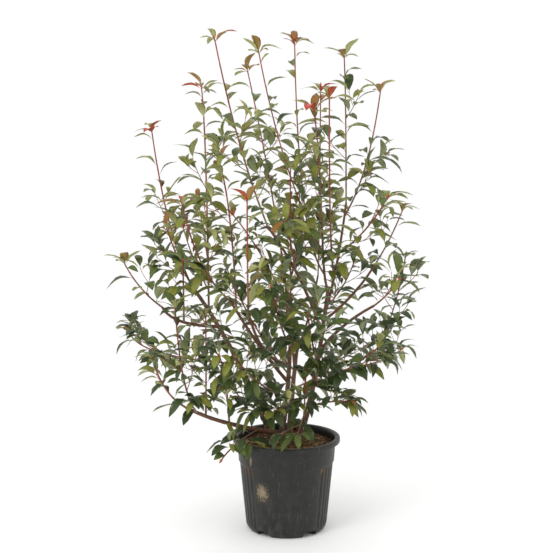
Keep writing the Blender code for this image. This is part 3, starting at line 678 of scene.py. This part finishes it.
def grow_leaves(bundle, bare, on_stem):
    """Leaves in a spiral along each curve, from its bare share on. Those near the tip are smaller,
    and on a mass's stem they are also fewer and have more of its upper colours."""
    found = []
    for index, length in enumerate(lengths(bundle)):
        habit = HABITS[bundle.owner[index]]
        count = max(2, int(length * (1.0 - bare) / habit.leaf_step))
        step = np.arange(count) + rng.uniform(*LEAF_PLACES, count)
        t = bare + (LAST_LEAF - bare) * step / count
        turn = rng.uniform(0.0, FULL_TURN) + TURN * np.arange(count)
        angle = np.radians(LEAF_ANGLE + rng.uniform(-ANGLE_SPREAD, ANGLE_SPREAD, count))
        size = LEAF_LENGTH * rng.uniform(*LEAF_SIZES, count) * (1.0 - LEAF_SHRINK * t**5)
        tilt = np.stack([*rng.uniform(-LEAF_TILT, LEAF_TILT, (2, count)), np.ones(count)], axis=-1)
        rise = (t if on_stem else 0.5 * t)[:, None]
        kinds = deal_kinds((1.0 - rise) * np.array(habit.low_mix) + rise * np.array(habit.high_mix))
        chance = habit.kept
        if on_stem:
            chance = np.where(t > MIDDLE_STRETCH, habit.kept, 1.0)
            chance = np.where(t > TOP_STRETCH, habit.top_kept, chance)
        kept = rng.uniform(0.0, 1.0, count) < chance
        if kept.any():
            values = [part[kept] for part in (t, turn, angle, size, tilt, kinds)]
            found.append(try_leaves(bundle, index, *values))
    return join_leaves(found)


def tip_leaves(bundle, mix_of, each, size_share, lean):
    """Leaves round each tip that lean out by up to so many degrees, in the colours of a mix."""
    found = []
    for index in range(len(bundle.start)):
        mix = mix_of(HABITS[bundle.owner[index]])
        t = np.full(each, TIP_PLACE)
        turn = rng.uniform(0.0, FULL_TURN) + TURN * np.arange(each)
        angle = np.radians(rng.uniform(*TIP_LEANS, each) * lean)
        size = LEAF_LENGTH * size_share * rng.uniform(*TIP_SIZES, each)
        tilt = np.tile((0.0, 0.1, 1.0), (each, 1))
        kinds = deal_kinds(np.tile(mix, (each, 1)))
        found.append(try_leaves(bundle, index, t, turn, angle, size, tilt, kinds))
    return join_leaves(found)


def leaf_grid(leaves):
    """Leaf blades. Along the length s and across the width a from -1 to 1, a point is the root,
    plus s of the length along, plus a times the half width w(s) to the side, plus the lift:
    arch sin(pi s) - curl s squared + fold |a| w(s), and a small wave along both edges. w(s) is
    half the width times the sine, to the 0.6, of pi times the blade's own share to the 1.1, and
    never under the stalk's."""
    s = np.linspace(0.0, 1.0, LEAF_STATIONS)
    s[1] = PETIOLE
    a = np.linspace(-1.0, 1.0, LEAF_COLUMNS)
    blade = np.clip((s - PETIOLE) / (1.0 - PETIOLE), 0.0, 1.0)
    half = 0.5 * LEAF_WIDTH * np.maximum(np.sin(math.pi * blade**1.1) ** 0.6, PETIOLE_HALF)
    count = len(leaves.root)
    # Each leaf's own share of the arch, curl, fold and width, and where its wave starts
    ranges = ((0.4, 1.5), (-0.4, 2.0), (0.3, 1.5), (0.88, 1.12), (0.0, FULL_TURN))
    draws = [rng.uniform(*ends, count)[:, None, None] for ends in ranges]
    arch = LEAF_ARCH * draws[0]
    curl = LEAF_CURL * draws[1]
    fold = LEAF_FOLD * draws[2]
    wide = half[:, None] * draws[3]
    wave = LEAF_WAVE * np.sin(9.0 * s[:, None] + draws[4]) * a**2 * (wide > 0.1)
    rise = arch * np.sin(math.pi * s)[:, None] - curl * s[:, None] ** 2
    rise = rise + fold * np.abs(a) * wide + wave
    side = unit(np.cross(leaves.along, leaves.up))
    lift = np.cross(side, leaves.along)
    size = leaves.length[:, None, None, None]
    top = leaves.root[:, None, None] + size * (
        s[:, None, None] * leaves.along[:, None, None]
        + (wide * a)[..., None] * side[:, None, None]
        + rise[..., None] * lift[:, None, None]
    )
    under = top[:, 1:-1, 1:-1] - LEAF_THICKNESS * lift[:, None, None]
    return np.concatenate([top.reshape(count, -1, 3), under.reshape(count, -1, 3)], axis=1)


def leaf_faces(count):
    """The two skins of every blade, which share the outline's points: top first, then under."""
    top = np.arange(LEAF_STATIONS * LEAF_COLUMNS).reshape(LEAF_STATIONS, LEAF_COLUMNS)
    under = top.copy()
    inner = (LEAF_STATIONS - 2) * (LEAF_COLUMNS - 2)
    under[1:-1, 1:-1] = top.size + np.arange(inner).reshape(LEAF_STATIONS - 2, -1)
    skins = []
    for grid, order in ((top, (0, 1, 2, 3)), (under, (3, 2, 1, 0))):
        corners = (grid[:-1, :-1], grid[:-1, 1:], grid[1:, 1:], grid[1:, :-1])
        skins.append(np.stack([corners[i].ravel() for i in order], axis=-1))
    each = top.size + inner
    faces = np.concatenate(skins) + (np.arange(count) * each)[:, None, None]
    return faces.reshape(-1, 4), len(skins[0])


def make_leaves(name, leaves, materials, slot, nodes):
    """One joined piece of leaves. Slots 2 k and 2 k + 1 are the top and the underside of kind k."""
    faces, skin = leaf_faces(len(leaves.root))
    under = np.tile(np.repeat((0, 1), skin), len(leaves.root))
    slots = np.repeat(leaves.kind * 2, 2 * skin) + under
    settle(make_piece(name, leaf_grid(leaves), faces.tolist(), materials, slots), slot, *nodes)


def bark_relief(bundle, t, angle):
    """Old bark, as a share of the radius at a run from the foot: ridges sin(3 angle + 21 run) and
    sin(5 angle - 47 run + 1), creases sin(8 angle + 160 run) sin(90 run), a bell at each old bud,
    and at the foot a lobed flare on the soil or else a collar, both dying away exponentially."""
    run = t * lengths(bundle)[:, None, None]
    ridges = 0.035 * np.sin(3 * angle + 21 * run) + 0.025 * np.sin(5 * angle - 47 * run + 1.0)
    fine = 0.02 * np.sin(8 * angle + 160 * run) * np.sin(90 * run)
    buds = 0.13 * np.exp(-((np.mod(run, OLD_BUD_STEP) - 0.02) / 0.0045) ** 2)
    buds = buds * (0.5 + 0.5 * np.cos(angle - BUD_TURN * np.floor(run / OLD_BUD_STEP)))
    grounded = (np.abs(bundle.start[:, 2] - SOIL_TOP) < 1e-6)[:, None, None]
    flare = STEM_FLARE / STEM_RADII[0] * np.exp(-run / STEM_FLARE_HEIGHT) * grounded
    flare = flare * (1.0 + 0.35 * np.cos(4 * angle + 0.7))
    collar = 0.30 * np.exp(-run / 0.008) * ~grounded
    return ridges + fine + buds + flare + collar


def shoot_relief(bundle, t, angle):
    """A young shoot: a bell-shaped swelling of the radius under each leaf, more on its own side."""
    run = t * lengths(bundle)[:, None, None]
    nodes = 0.22 * np.exp(-((np.mod(run, SHOOT_BUD_STEP) - 0.012) / 0.0022) ** 2)
    return nodes * (0.6 + 0.4 * np.cos(angle - BUD_TURN * np.floor(run / SHOOT_BUD_STEP)))


def make_buds(name, bundle, size, materials, slots, slot):
    """Pointed buds on the tips. At share s of its length a bud's radius is a fifth of the length
    times the sine, to the 0.8, of pi times s to the 0.7."""
    rings = 6
    sides = 6
    s = np.linspace(0.04, 0.97, rings)
    angle = np.arange(sides) * FULL_TURN / sides
    ahead = heading_at(bundle, np.array([[1.0]]))[:, 0]
    side = level_side(bundle)
    other = np.cross(ahead, side)
    radius = 0.20 * np.sin(math.pi * s**0.7) ** 0.8
    ring = np.cos(angle)[:, None] * side[:, None] + np.sin(angle)[:, None] * other[:, None]
    length = size[:, None, None, None]
    skin = bundle.end[:, None, None] + length * (
        s[:, None, None] * ahead[:, None, None] + radius[:, None, None] * ring[:, None]
    )
    ends = np.stack([bundle.end, bundle.end + size[:, None] * ahead], axis=1)
    count = len(size)
    points = np.concatenate([skin.reshape(count, -1, 3), ends], axis=1)
    marks = np.concatenate([np.repeat(slots, (rings - 1) * sides), np.repeat(slots, 2 * sides)])
    settle(make_piece(name, points, skin_faces(rings, sides, count), materials, marks), slot)


def bark_material(name, dark, light, mark):
    """Young bark, thin and dull: upright streaks 2 mm wide, and patches of pale breathing pores
    about 1 mm across."""
    material, tree, shader = new_material(name, dark, 0.78, 1.45)
    streaks = noise(tree, (420.0, 420.0, 40.0))
    tone = blend(tree, share(tree, streaks, 0.35, 0.68), linear(dark), linear(light))
    pores = share(tree, cells(tree, (260.0, 260.0, 170.0)), 0.22, 0.12)
    patch = share(tree, noise(tree, (60.0, 60.0, 25.0)), 0.50, 0.62)
    spots = calculate(tree, "MULTIPLY", pores, patch)
    tree.links.new(blend(tree, spots, tone, linear(mark)), shader.inputs["Base Color"])
    tree.links.new(spread(tree, streaks, 0.62, 0.9), shader.inputs["Roughness"])
    add_bump(tree, shader, streaks, 0.0006)
    return material


def rind_material(name, dark, light):
    """This year's rind, smooth and faintly waxy: two tones in soft patches 40 by 80 mm."""
    material, tree, shader = new_material(name, dark, 0.5, 1.45)
    flush = noise(tree, (26.0, 26.0, 12.0))
    tone = blend(tree, share(tree, flush, 0.38, 0.62), linear(dark), linear(light))
    tree.links.new(tone, shader.inputs["Base Color"])
    add_bump(tree, shader, noise(tree, (900.0, 900.0, 120.0)), 0.0002)
    return material


def leaf_material(name, colour, roughness):
    """A leathery evergreen leaf. The top is waxed and shines, the underside is dull. The skin
    between its veins is drawn 4 mm across, coarser than life, so that it shows."""
    material, tree, shader = new_material(name, colour, roughness, 1.38)
    add_bump(tree, shader, noise(tree, (250.0, 250.0, 250.0), 2.0), 0.0008, 0.5)
    return material


def pot_material():
    """Blow-moulded black polyethylene, satin: a sheen mottled every 22 mm, dust low down, faint
    runs 6 mm wide, rubbed pale specks up to 3 mm across, and dried tan mud that splashed on the
    front at the left and on the band."""
    material, tree, shader = new_material("blow_moulded_black_polyethylene", "161615", 0.42, 1.45)
    mottle = noise(tree, (45.0, 45.0, 45.0), 4.0)
    tone = blend(tree, share(tree, mottle, 0.35, 0.70), linear("131311"), linear("22211D"))
    where = add_node(tree, "TexCoord").outputs["Object"]
    height = add_node(tree, "SeparateXYZ", {0: where}).outputs[2]
    dust = share(tree, noise(tree, (70.0, 70.0, 28.0), 5.0), 0.50, 0.72)
    dusty = calculate(tree, "MULTIPLY", dust, share(tree, height, 0.16, 0.0))
    mud = distance(tree, (34.0, 12.0, 23.0), (-0.074, -0.115, 0.142))
    drip = distance(tree, (150.0, 14.0, 40.0), (-0.108, -0.100, 0.236))
    near = calculate(tree, "MINIMUM", mud, drip)
    ragged = calculate(tree, "MULTIPLY", noise(tree, (300.0, 300.0, 170.0), 6.0, 0.8), 3.2)
    stain = share(tree, calculate(tree, "SUBTRACT", ragged, near), 1.00, 1.30)
    runs = share(tree, noise(tree, (170.0, 170.0, 9.0)), 0.60, 0.76)
    specks = share(tree, cells(tree, (55.0, 55.0, 55.0)), 0.075, 0.045)
    marks = (
        (dusty, 0.55, "4E4A42"), (stain, 1.0, "8C7C64"), (runs, 0.45, "5A574F"),
        (specks, 0.55, "77746C"),
    )
    for mask, strength, colour in marks:
        tone = blend(tree, calculate(tree, "MULTIPLY", mask, strength), tone, linear(colour))
    tree.links.new(tone, shader.inputs["Base Color"])
    gloss = spread(tree, mottle, 0.34, 0.56)
    dull = calculate(tree, "MULTIPLY_ADD", stain, 0.4, gloss)
    tree.links.new(dull, shader.inputs["Roughness"])
    add_bump(tree, shader, noise(tree, (500.0, 500.0, 500.0)), 0.0001, 0.4)
    return material


def compost_material():
    """Moist compost: dark crumbs and brown fibre about 4 mm across, with no shine."""
    material, tree, shader = new_material("moist_compost", "4A3424", 0.95, 1.4)
    crumbs = noise(tree, (240.0, 240.0, 240.0), 5.0, 0.7)
    tone = blend(tree, share(tree, crumbs, 0.38, 0.62), linear("33241A"), linear("6E5038"))
    patch = share(tree, noise(tree, (34.0, 34.0, 34.0)), 0.5, 0.7)
    tree.links.new(blend(tree, patch, tone, linear("7A6044")), shader.inputs["Base Color"])
    add_bump(tree, shader, crumbs, 0.003)
    return material


def smooth_step(value, low, high):
    """0 below low, 1 above high, and an S between."""
    x = np.clip((value - low) / (high - low), 0.0, 1.0)
    return x * x * (3.0 - 2.0 * x)


def rounded(corners, radii, steps=5):
    """A profile through corners, each replaced by a quadratic arc that starts and ends its radius
    away from it."""
    corners = np.array(corners, float)
    points = [corners[:1]]
    s = np.linspace(0.0, 1.0, steps)[:, None]
    for before, corner, after, radius in zip(corners, corners[1:], corners[2:], radii):
        if radius == 0.0:
            points.append(corner[None])
            continue
        first = corner + unit(before - corner) * radius
        last = corner + unit(after - corner) * radius
        points.append((1 - s) ** 2 * first + 2 * s * (1 - s) * corner + s**2 * last)
    points.append(corners[-1:])
    return np.concatenate(points)


def turned(profile, columns, shape):
    """A closed turned skin. A point is the profile's radius at its column's angle, at the
    profile's height, and shape(radius, height, angle) moves both. The profile starts and ends on
    the axis."""
    angle = np.arange(columns) * FULL_TURN / columns
    radius, height = (np.repeat(profile[1:-1, i][:, None], columns, axis=1) for i in (0, 1))
    radius, height = shape(radius, height, angle[None])
    skin = np.stack([radius * np.cos(angle), radius * np.sin(angle), height], axis=-1)
    ends = np.array([(0.0, 0.0, profile[0, 1]), (0.0, 0.0, profile[-1, 1])])
    return np.concatenate([skin.reshape(-1, 3), ends]), skin_faces(len(profile) - 2, columns)


def angle_from(angle, middle):
    """How far an angle is from a middle one, the short way round."""
    return np.abs(np.mod(angle - middle + math.pi, FULL_TURN) - math.pi)


def pot_shape(radius, height, angle):
    """The pot's wall. In each group of flutes the outer wall below the band loses the flute depth
    times the square of 0.5 + 0.5 cos(turns of the pitch). At each notch the foot rises outwards to
    the notch's height in an S-shaped ramp."""
    half_group = FLUTES_A_GROUP * FLUTE_PITCH / 2
    outer = smooth_step(height, EDGE_HEIGHT, 2.2 * EDGE_HEIGHT) * (height < BAND_FOOT + 0.004)
    slope = OUTER_SLOPE * np.maximum(height - EDGE_HEIGHT, 0.0)
    outer = outer * (radius > BASE_RADIUS - OUTER_SLACK + slope)
    dip = np.zeros_like(radius)
    for group in range(FLUTE_GROUPS):
        away = angle_from(angle, BACK_ANGLE + group * FULL_TURN / FLUTE_GROUPS)
        inside = 1.0 - smooth_step(away, half_group - GROUP_EDGE[0], half_group + GROUP_EDGE[1])
        groove = 0.5 + 0.5 * np.cos(FULL_TURN * (away + FLUTE_PITCH / 2) / FLUTE_PITCH)
        dip = dip + inside * groove**2
    top = BAND_FOOT + GROOVE_RISE * dip
    fade = 1.0 - smooth_step(height, top - GROOVE_FADE[0], top - GROOVE_FADE[1])
    radius = radius - FLUTE_DEPTH * dip * fade * outer
    lift = np.zeros_like(radius)
    for notch in range(NOTCHES):
        away = angle_from(angle, BACK_ANGLE + notch * FULL_TURN / NOTCHES)
        edge = smooth_step(away, NOTCH_HALF_ANGLE - NOTCH_EDGE, NOTCH_HALF_ANGLE + NOTCH_EDGE)
        lift = lift + 1.0 - edge
    ramp = smooth_step(radius, FOOT_RADIUS - NOTCH_RAMP[0], FOOT_RADIUS - NOTCH_RAMP[1]) * lift
    low = (height < NOTCH_HEIGHT) & (radius > FOOT_RADIUS - NOTCH_REACH)
    lifted = np.maximum(height, NOTCH_HEIGHT * ramp + NOTCH_SQUEEZE * height)
    return radius, np.where(low, lifted, height)


def make_pot():
    """The outer wall from the underside's middle up to the rolled lip, over it and down inside."""
    lip_foot = POT_HEIGHT - LIP_HEIGHT
    corners = (
        (0.0, 0.0), (FOOT_RADIUS - NOTCH_REACH, 0.0),
        (FOOT_RADIUS, 0.0), (BASE_RADIUS, EDGE_HEIGHT),
        (BODY_RADIUS, BAND_FOOT - 0.003), (BAND_RADIUS + 0.0006, BAND_FOOT),
        (BAND_TOP_RADIUS, lip_foot - 0.004), (BAND_TOP_RADIUS + 0.001, POT_HEIGHT - LIP_HOLLOW),
        (RIM_RADIUS - WALL, POT_HEIGHT - LIP_HOLLOW), (RIM_RADIUS - WALL, lip_foot),
        (RIM_RADIUS, lip_foot), (RIM_RADIUS, POT_HEIGHT), (RIM_RADIUS - LIP_REACH, POT_HEIGHT),
        (BAND_TOP_RADIUS - WALL, POT_HEIGHT - 0.008), (BAND_RADIUS - WALL, BAND_FOOT),
        (BASE_RADIUS - 2 * WALL, HAUNCH_HEIGHT), (0.0, HAUNCH_HEIGHT),
    )
    radii = (
        0.0, 0.006, 0.007, 0.001, 0.001, 0.002, 0.002, 0.002, 0.0012, 0.0012, 0.004, 0.004,
        0.003, 0.002, 0.004,
    )
    profile = rounded(corners, radii)
    # Long straight stretches get rows, so that flutes and notches have points to move
    stretches = []
    for before, after in zip(profile, profile[1:]):
        rows = max(2, int(np.linalg.norm(after - before) / POT_ROW) + 1)
        stretches.append(np.linspace(before, after, rows)[:-1])
    profile = np.concatenate(stretches + [profile[-1:]])
    points, faces = turned(profile, POT_COLUMNS, pot_shape)
    settle(make_piece("nursery_pot", points, faces, [pot_material()]), "pot", "pot")


def soil_height(x, y):
    """Crumbly soil: the soil's top, plus 2.2 mm of the sum of sines with waves of 100 to 165 mm,
    from 60 mm outwards, plus 1.6 mm of a product of bent sines with waves of 20 mm."""
    away = np.clip((np.hypot(x, y) - 0.06) / 0.09, 0.0, 1.0)
    broad = np.sin(61 * x + 1.3) + np.sin(53 * y + 0.4) + np.sin(38 * (x + y))
    fine = np.sin(310 * x + 2.0 * np.sin(170 * y)) * np.sin(290 * y + 2.0 * np.sin(190 * x))
    return SOIL_TOP + 0.0022 * broad * away + 0.0016 * fine


def make_soil():
    """The soil as a turned body whose top follows soil_height."""
    edge = BAND_RADIUS - WALL + 0.0006
    floor = HAUNCH_HEIGHT + 0.001
    rim = edge + (SOIL_TOP - BAND_FOOT) * (BAND_TOP_RADIUS - BAND_RADIUS) / (POT_HEIGHT - BAND_FOOT)
    top = np.stack([np.linspace(rim, 0.0, SOIL_RINGS), np.full(SOIL_RINGS, SOIL_TOP)], axis=-1)
    side = np.array([(0.0, floor), (BASE_RADIUS - 3 * WALL, floor), (edge - 0.001, BAND_FOOT)])
    profile = np.concatenate([side, top])

    def shape(radius, height, angle):
        x = radius * np.cos(angle)
        y = radius * np.sin(angle)
        return radius, np.where(height > SOIL_TOP - 1e-6, soil_height(x, y), height)

    points, faces = turned(profile, SOIL_COLUMNS, shape)
    settle(make_piece("compost", points, faces, [compost_material()]), "soil", "soil")


def scatter(count, reach):
    """Places spread evenly over the soil out to a reach."""
    radius = reach * np.sqrt(rng.uniform(0.02, 1.0, count))
    angle = rng.uniform(0.0, FULL_TURN, count)
    x = radius * np.cos(angle)
    y = radius * np.sin(angle)
    return np.stack([x, y, soil_height(x, y)], axis=-1)


def make_chips(count):
    """Dry, dull bark chips: boxes 4 to 12 mm long, each corner moved a little, at a small tilt."""
    corner = np.array([(x, y, z) for z in (-1, 1) for y in (-1, 1) for x in (-1, 1)], float)
    halves = ((0.002, 0.006), (0.0012, 0.003), (0.0005, 0.0014))
    size = np.stack([rng.uniform(*half, count) for half in halves], axis=-1)
    box = corner * (1.0 + rng.uniform(-0.3, 0.2, (count, 8, 3))) * size[:, None]
    turn = rng.uniform(0.0, FULL_TURN, count)
    ahead = unit(np.stack([np.cos(turn), np.sin(turn), rng.uniform(-0.35, 0.35, count)], axis=-1))
    side = unit(np.stack([-ahead[:, 1], ahead[:, 0], rng.uniform(-0.25, 0.25, count)], axis=-1))
    up = np.cross(ahead, side)
    axes = np.stack([ahead, side, up], axis=1)
    points = scatter(count, CHIP_REACH)[:, None] + np.einsum("nck,nkd->ncd", box, axes)
    points = points + (0.0, 0.0, 0.0012)
    cube = np.array([
        (0, 2, 3, 1), (4, 5, 7, 6), (0, 1, 5, 4), (1, 3, 7, 5), (3, 2, 6, 7), (2, 0, 4, 6),
    ])
    faces = (cube + (np.arange(count) * 8)[:, None, None]).reshape(-1, 4)
    slots = np.repeat(rng.integers(0, 3, count), 6)
    tones = plain(0.9, red_bark_chip="7A4A32", brown_bark_chip="5A4030", pale_wood_chip="A08560")
    settle(make_piece("bark_chips", points, faces.tolist(), tones, slots, smooth=False), "soil")


def make_straw(count):
    """Dry, dull straw and coir: thin bent fibres 8 to 24 mm long, heaped at the front left."""
    place = scatter(count, STRAW_REACH)
    drawn = rng.uniform(0.0, 1.0, count) < STRAW_HEAP_SHARE
    for axis, (middle, wide) in enumerate(zip(STRAW_HEAP, STRAW_HEAP_SPREAD)):
        place[drawn, axis] = middle + rng.normal(0.0, wide, drawn.sum())
    reach = np.hypot(place[:, 0], place[:, 1])
    place[:, :2] *= np.minimum(1.0, STRAW_EDGE / np.maximum(reach, 1e-6))[:, None]
    place[:, 2] = soil_height(place[:, 0], place[:, 1]) + rng.uniform(0.001, 0.004, count)
    turn = rng.uniform(0.0, FULL_TURN, count)
    way = np.stack([np.cos(turn), np.sin(turn), rng.uniform(-0.08, 0.14, count)], axis=-1)
    way = way * rng.uniform(0.004, 0.012, count)[:, None]
    bend = rng.uniform(-0.004, 0.004, (count, 3)) * (1.0, 1.0, 0.5)
    radius = rng.uniform(0.0003, 0.0008, count)
    owner = np.zeros(count, int)
    fibres = Bundle(place - way, place + bend, place + way, radius, radius * 0.7, owner)
    points, faces = tubes(fibres, 5, 4)
    settle(make_piece("straw", points, faces, plain(0.8, dry_straw="C4A468")), "soil")


def make_twigs(name, bundle, rings, sides, relief, rinds, changes):
    """Young twigs, whose rind changes colour at each of the given shares of their length."""
    points, faces = tubes(bundle, rings, sides, relief)
    ring_share = np.repeat((np.arange(rings - 1) + 0.5) / (rings - 1), sides)
    along = np.searchsorted(changes, ring_share)
    ends = np.repeat((0, len(changes)), sides)
    slots = np.concatenate([np.tile(along, len(bundle.start)), np.tile(ends, len(bundle.start))])
    settle(make_piece(name, points, faces, rinds, slots), "bough_bark")


def names(limbs):
    return [limb.name for limb in limbs]


def make_wood():
    """Stems and boughs in bark, each replacing its solids."""
    for name, limbs, rings, sides, slot, tones in (
        ("stems", STEMS, 150, 24, "stem_bark", ("old_stem_bark", "5E4433", "8A6A54", "B09880")),
        ("boughs", BOUGHS, 110, 16, "bough_bark", ("bough_bark", "60402F", "87604C", "B09478")),
    ):
        points, faces = tubes(bundle_of(limbs), rings, sides, bark_relief)
        obj = make_piece(name, points, faces, [bark_material(*tones)])
        settle(obj, slot, *names(limbs))


def make_foliage():
    """The stem of each mass, its side twigs and twiglets, and every leaf and bud on them."""
    masses = bundle_of(WHIPS + SHOOTS + SPRAYS + FORKS)
    twigs = side_twigs(masses, lambda habit: habit.twig_plan, TWIG_RADII, TWIGS_FROM)
    twiglets = side_twigs(twigs, lambda habit: TWIGLET_PLAN, TWIGLET_RADII, TWIGLETS_FROM)
    rinds = [
        rind_material("brown_shoot_rind", "74543F", "957258"),
        rind_material("rosy_shoot_rind", "844C3E", "A26A54"),
        rind_material("red_shoot_rind", "74261E", "9A4438"),
    ]
    make_twigs("shoot_stems", masses, 60, 8, shoot_relief, rinds, (0.30, 0.66))
    make_twigs("side_twigs", twigs, 12, 6, None, rinds[:2], (0.45,))
    make_twigs("twiglets", twiglets, 8, 5, None, rinds[:2], (0.30,))
    leaves = join_leaves([
        grow_leaves(masses, STEM_LEAVES_FROM, True),
        grow_leaves(twigs, TWIG_LEAVES_FROM, False),
        grow_leaves(twiglets, TWIGLET_LEAVES_FROM, False),
        tip_leaves(masses, lambda habit: habit.tip_mix, *STEM_TIP),
        tip_leaves(twigs, lambda habit: habit.high_mix, *TWIG_TIP),
        tip_leaves(twiglets, lambda habit: habit.high_mix, *TWIGLET_TIP),
    ])
    skins = []
    for kind, (top, under) in LEAF_COLOURS.items():
        skins.append(leaf_material(kind + "_leaf_top", top, 0.46))
        skins.append(leaf_material(kind + "_leaf_underside", under, 0.62))
    first = 0
    for name, limbs, slot in (
        ("whip_leaves", WHIPS, "upper_leaves"),
        ("shoot_leaves", SHOOTS, "shoot_leaves"),
        ("spray_leaves", SPRAYS, "lower_leaves"),
    ):
        last = first + len(limbs)
        mine = (leaves.owner >= first) & (leaves.owner < last)
        make_leaves(name, Leaves(*(part[mine] for part in leaves)), skins, slot, names(limbs))
        first = last
    # Bud scales are waxy and shine a little
    scales = plain(0.4, red_bud_scale="C2402A", amber_bud_scale="C8682C")
    size = rng.uniform(0.012, 0.021, len(masses.start))
    low = np.array([HABITS[owner] is SPRAY_HABIT for owner in masses.owner]).astype(int)
    make_buds("stem_buds", masses, size, scales, low, "upper_leaves")
    size = rng.uniform(0.005, 0.010, len(twigs.start))
    make_buds("twig_buds", twigs, size, scales, rng.integers(0, 2, len(size)), "upper_leaves")


def floor_material():
    """A white floor that turns into the white of the surroundings further from the pot."""
    material, tree, shader = new_material("pale_floor", "FFFFFF", 0.9)
    glow = add_node(tree, "Emission", {"Color": (1.0, 1.0, 1.0, 1.0)}).outputs[0]
    far = share(tree, distance(tree, (1.0, 1.0, 1.0)), *FLOOR_FADE)
    mixed = add_node(tree, "MixShader", {0: far, 1: shader.outputs[0], 2: glow}).outputs[0]
    tree.links.new(mixed, tree.nodes["Material Output"].inputs[0])
    return material


def make_stage():
    """A white floor, soft light from above and the left, and the camera at the photo's place."""
    corners = np.array([(-1.0, -1.0, 0.0), (1.0, -1.0, 0.0), (1.0, 1.0, 0.0), (-1.0, 1.0, 0.0)])
    floor = make_piece("floor", FLOOR_REACH * corners, [(0, 1, 2, 3)], [floor_material()])
    scene = bpy.context.scene
    scene.view_settings.view_transform = "Standard"
    world = bpy.data.worlds.new("studio")
    scene.world = world
    world.use_nodes = True
    world.node_tree.nodes["Background"].inputs[0].default_value = (1.0, 1.0, 1.0, 1.0)
    for name, place, aim, size, power in LAMPS:
        light = bpy.data.lights.new(name, "AREA")
        light.energy = power
        light.size = size
        lamp = bpy.data.objects.new(name, light)
        lamp.location = place
        way = np.array(aim) - np.array(place)
        pitch = math.atan2(math.hypot(way[0], way[1]), -way[2])
        lamp.rotation_euler = (pitch, 0.0, math.atan2(way[1], way[0]) - math.pi / 2)
        scene.collection.objects.link(lamp)
    camera = bpy.data.cameras.new("camera")
    camera.lens = CAMERA_LENS
    view = bpy.data.objects.new("camera", camera)
    view.location = CAMERA_PLACE
    view.rotation_euler = (CAMERA_PITCH, 0.0, 0.0)
    scene.collection.objects.link(view)
    scene.camera = view


make_pot()
make_soil()
make_chips(CHIP_COUNT)
make_straw(STRAW_COUNT)
make_wood()
make_foliage()
make_stage()
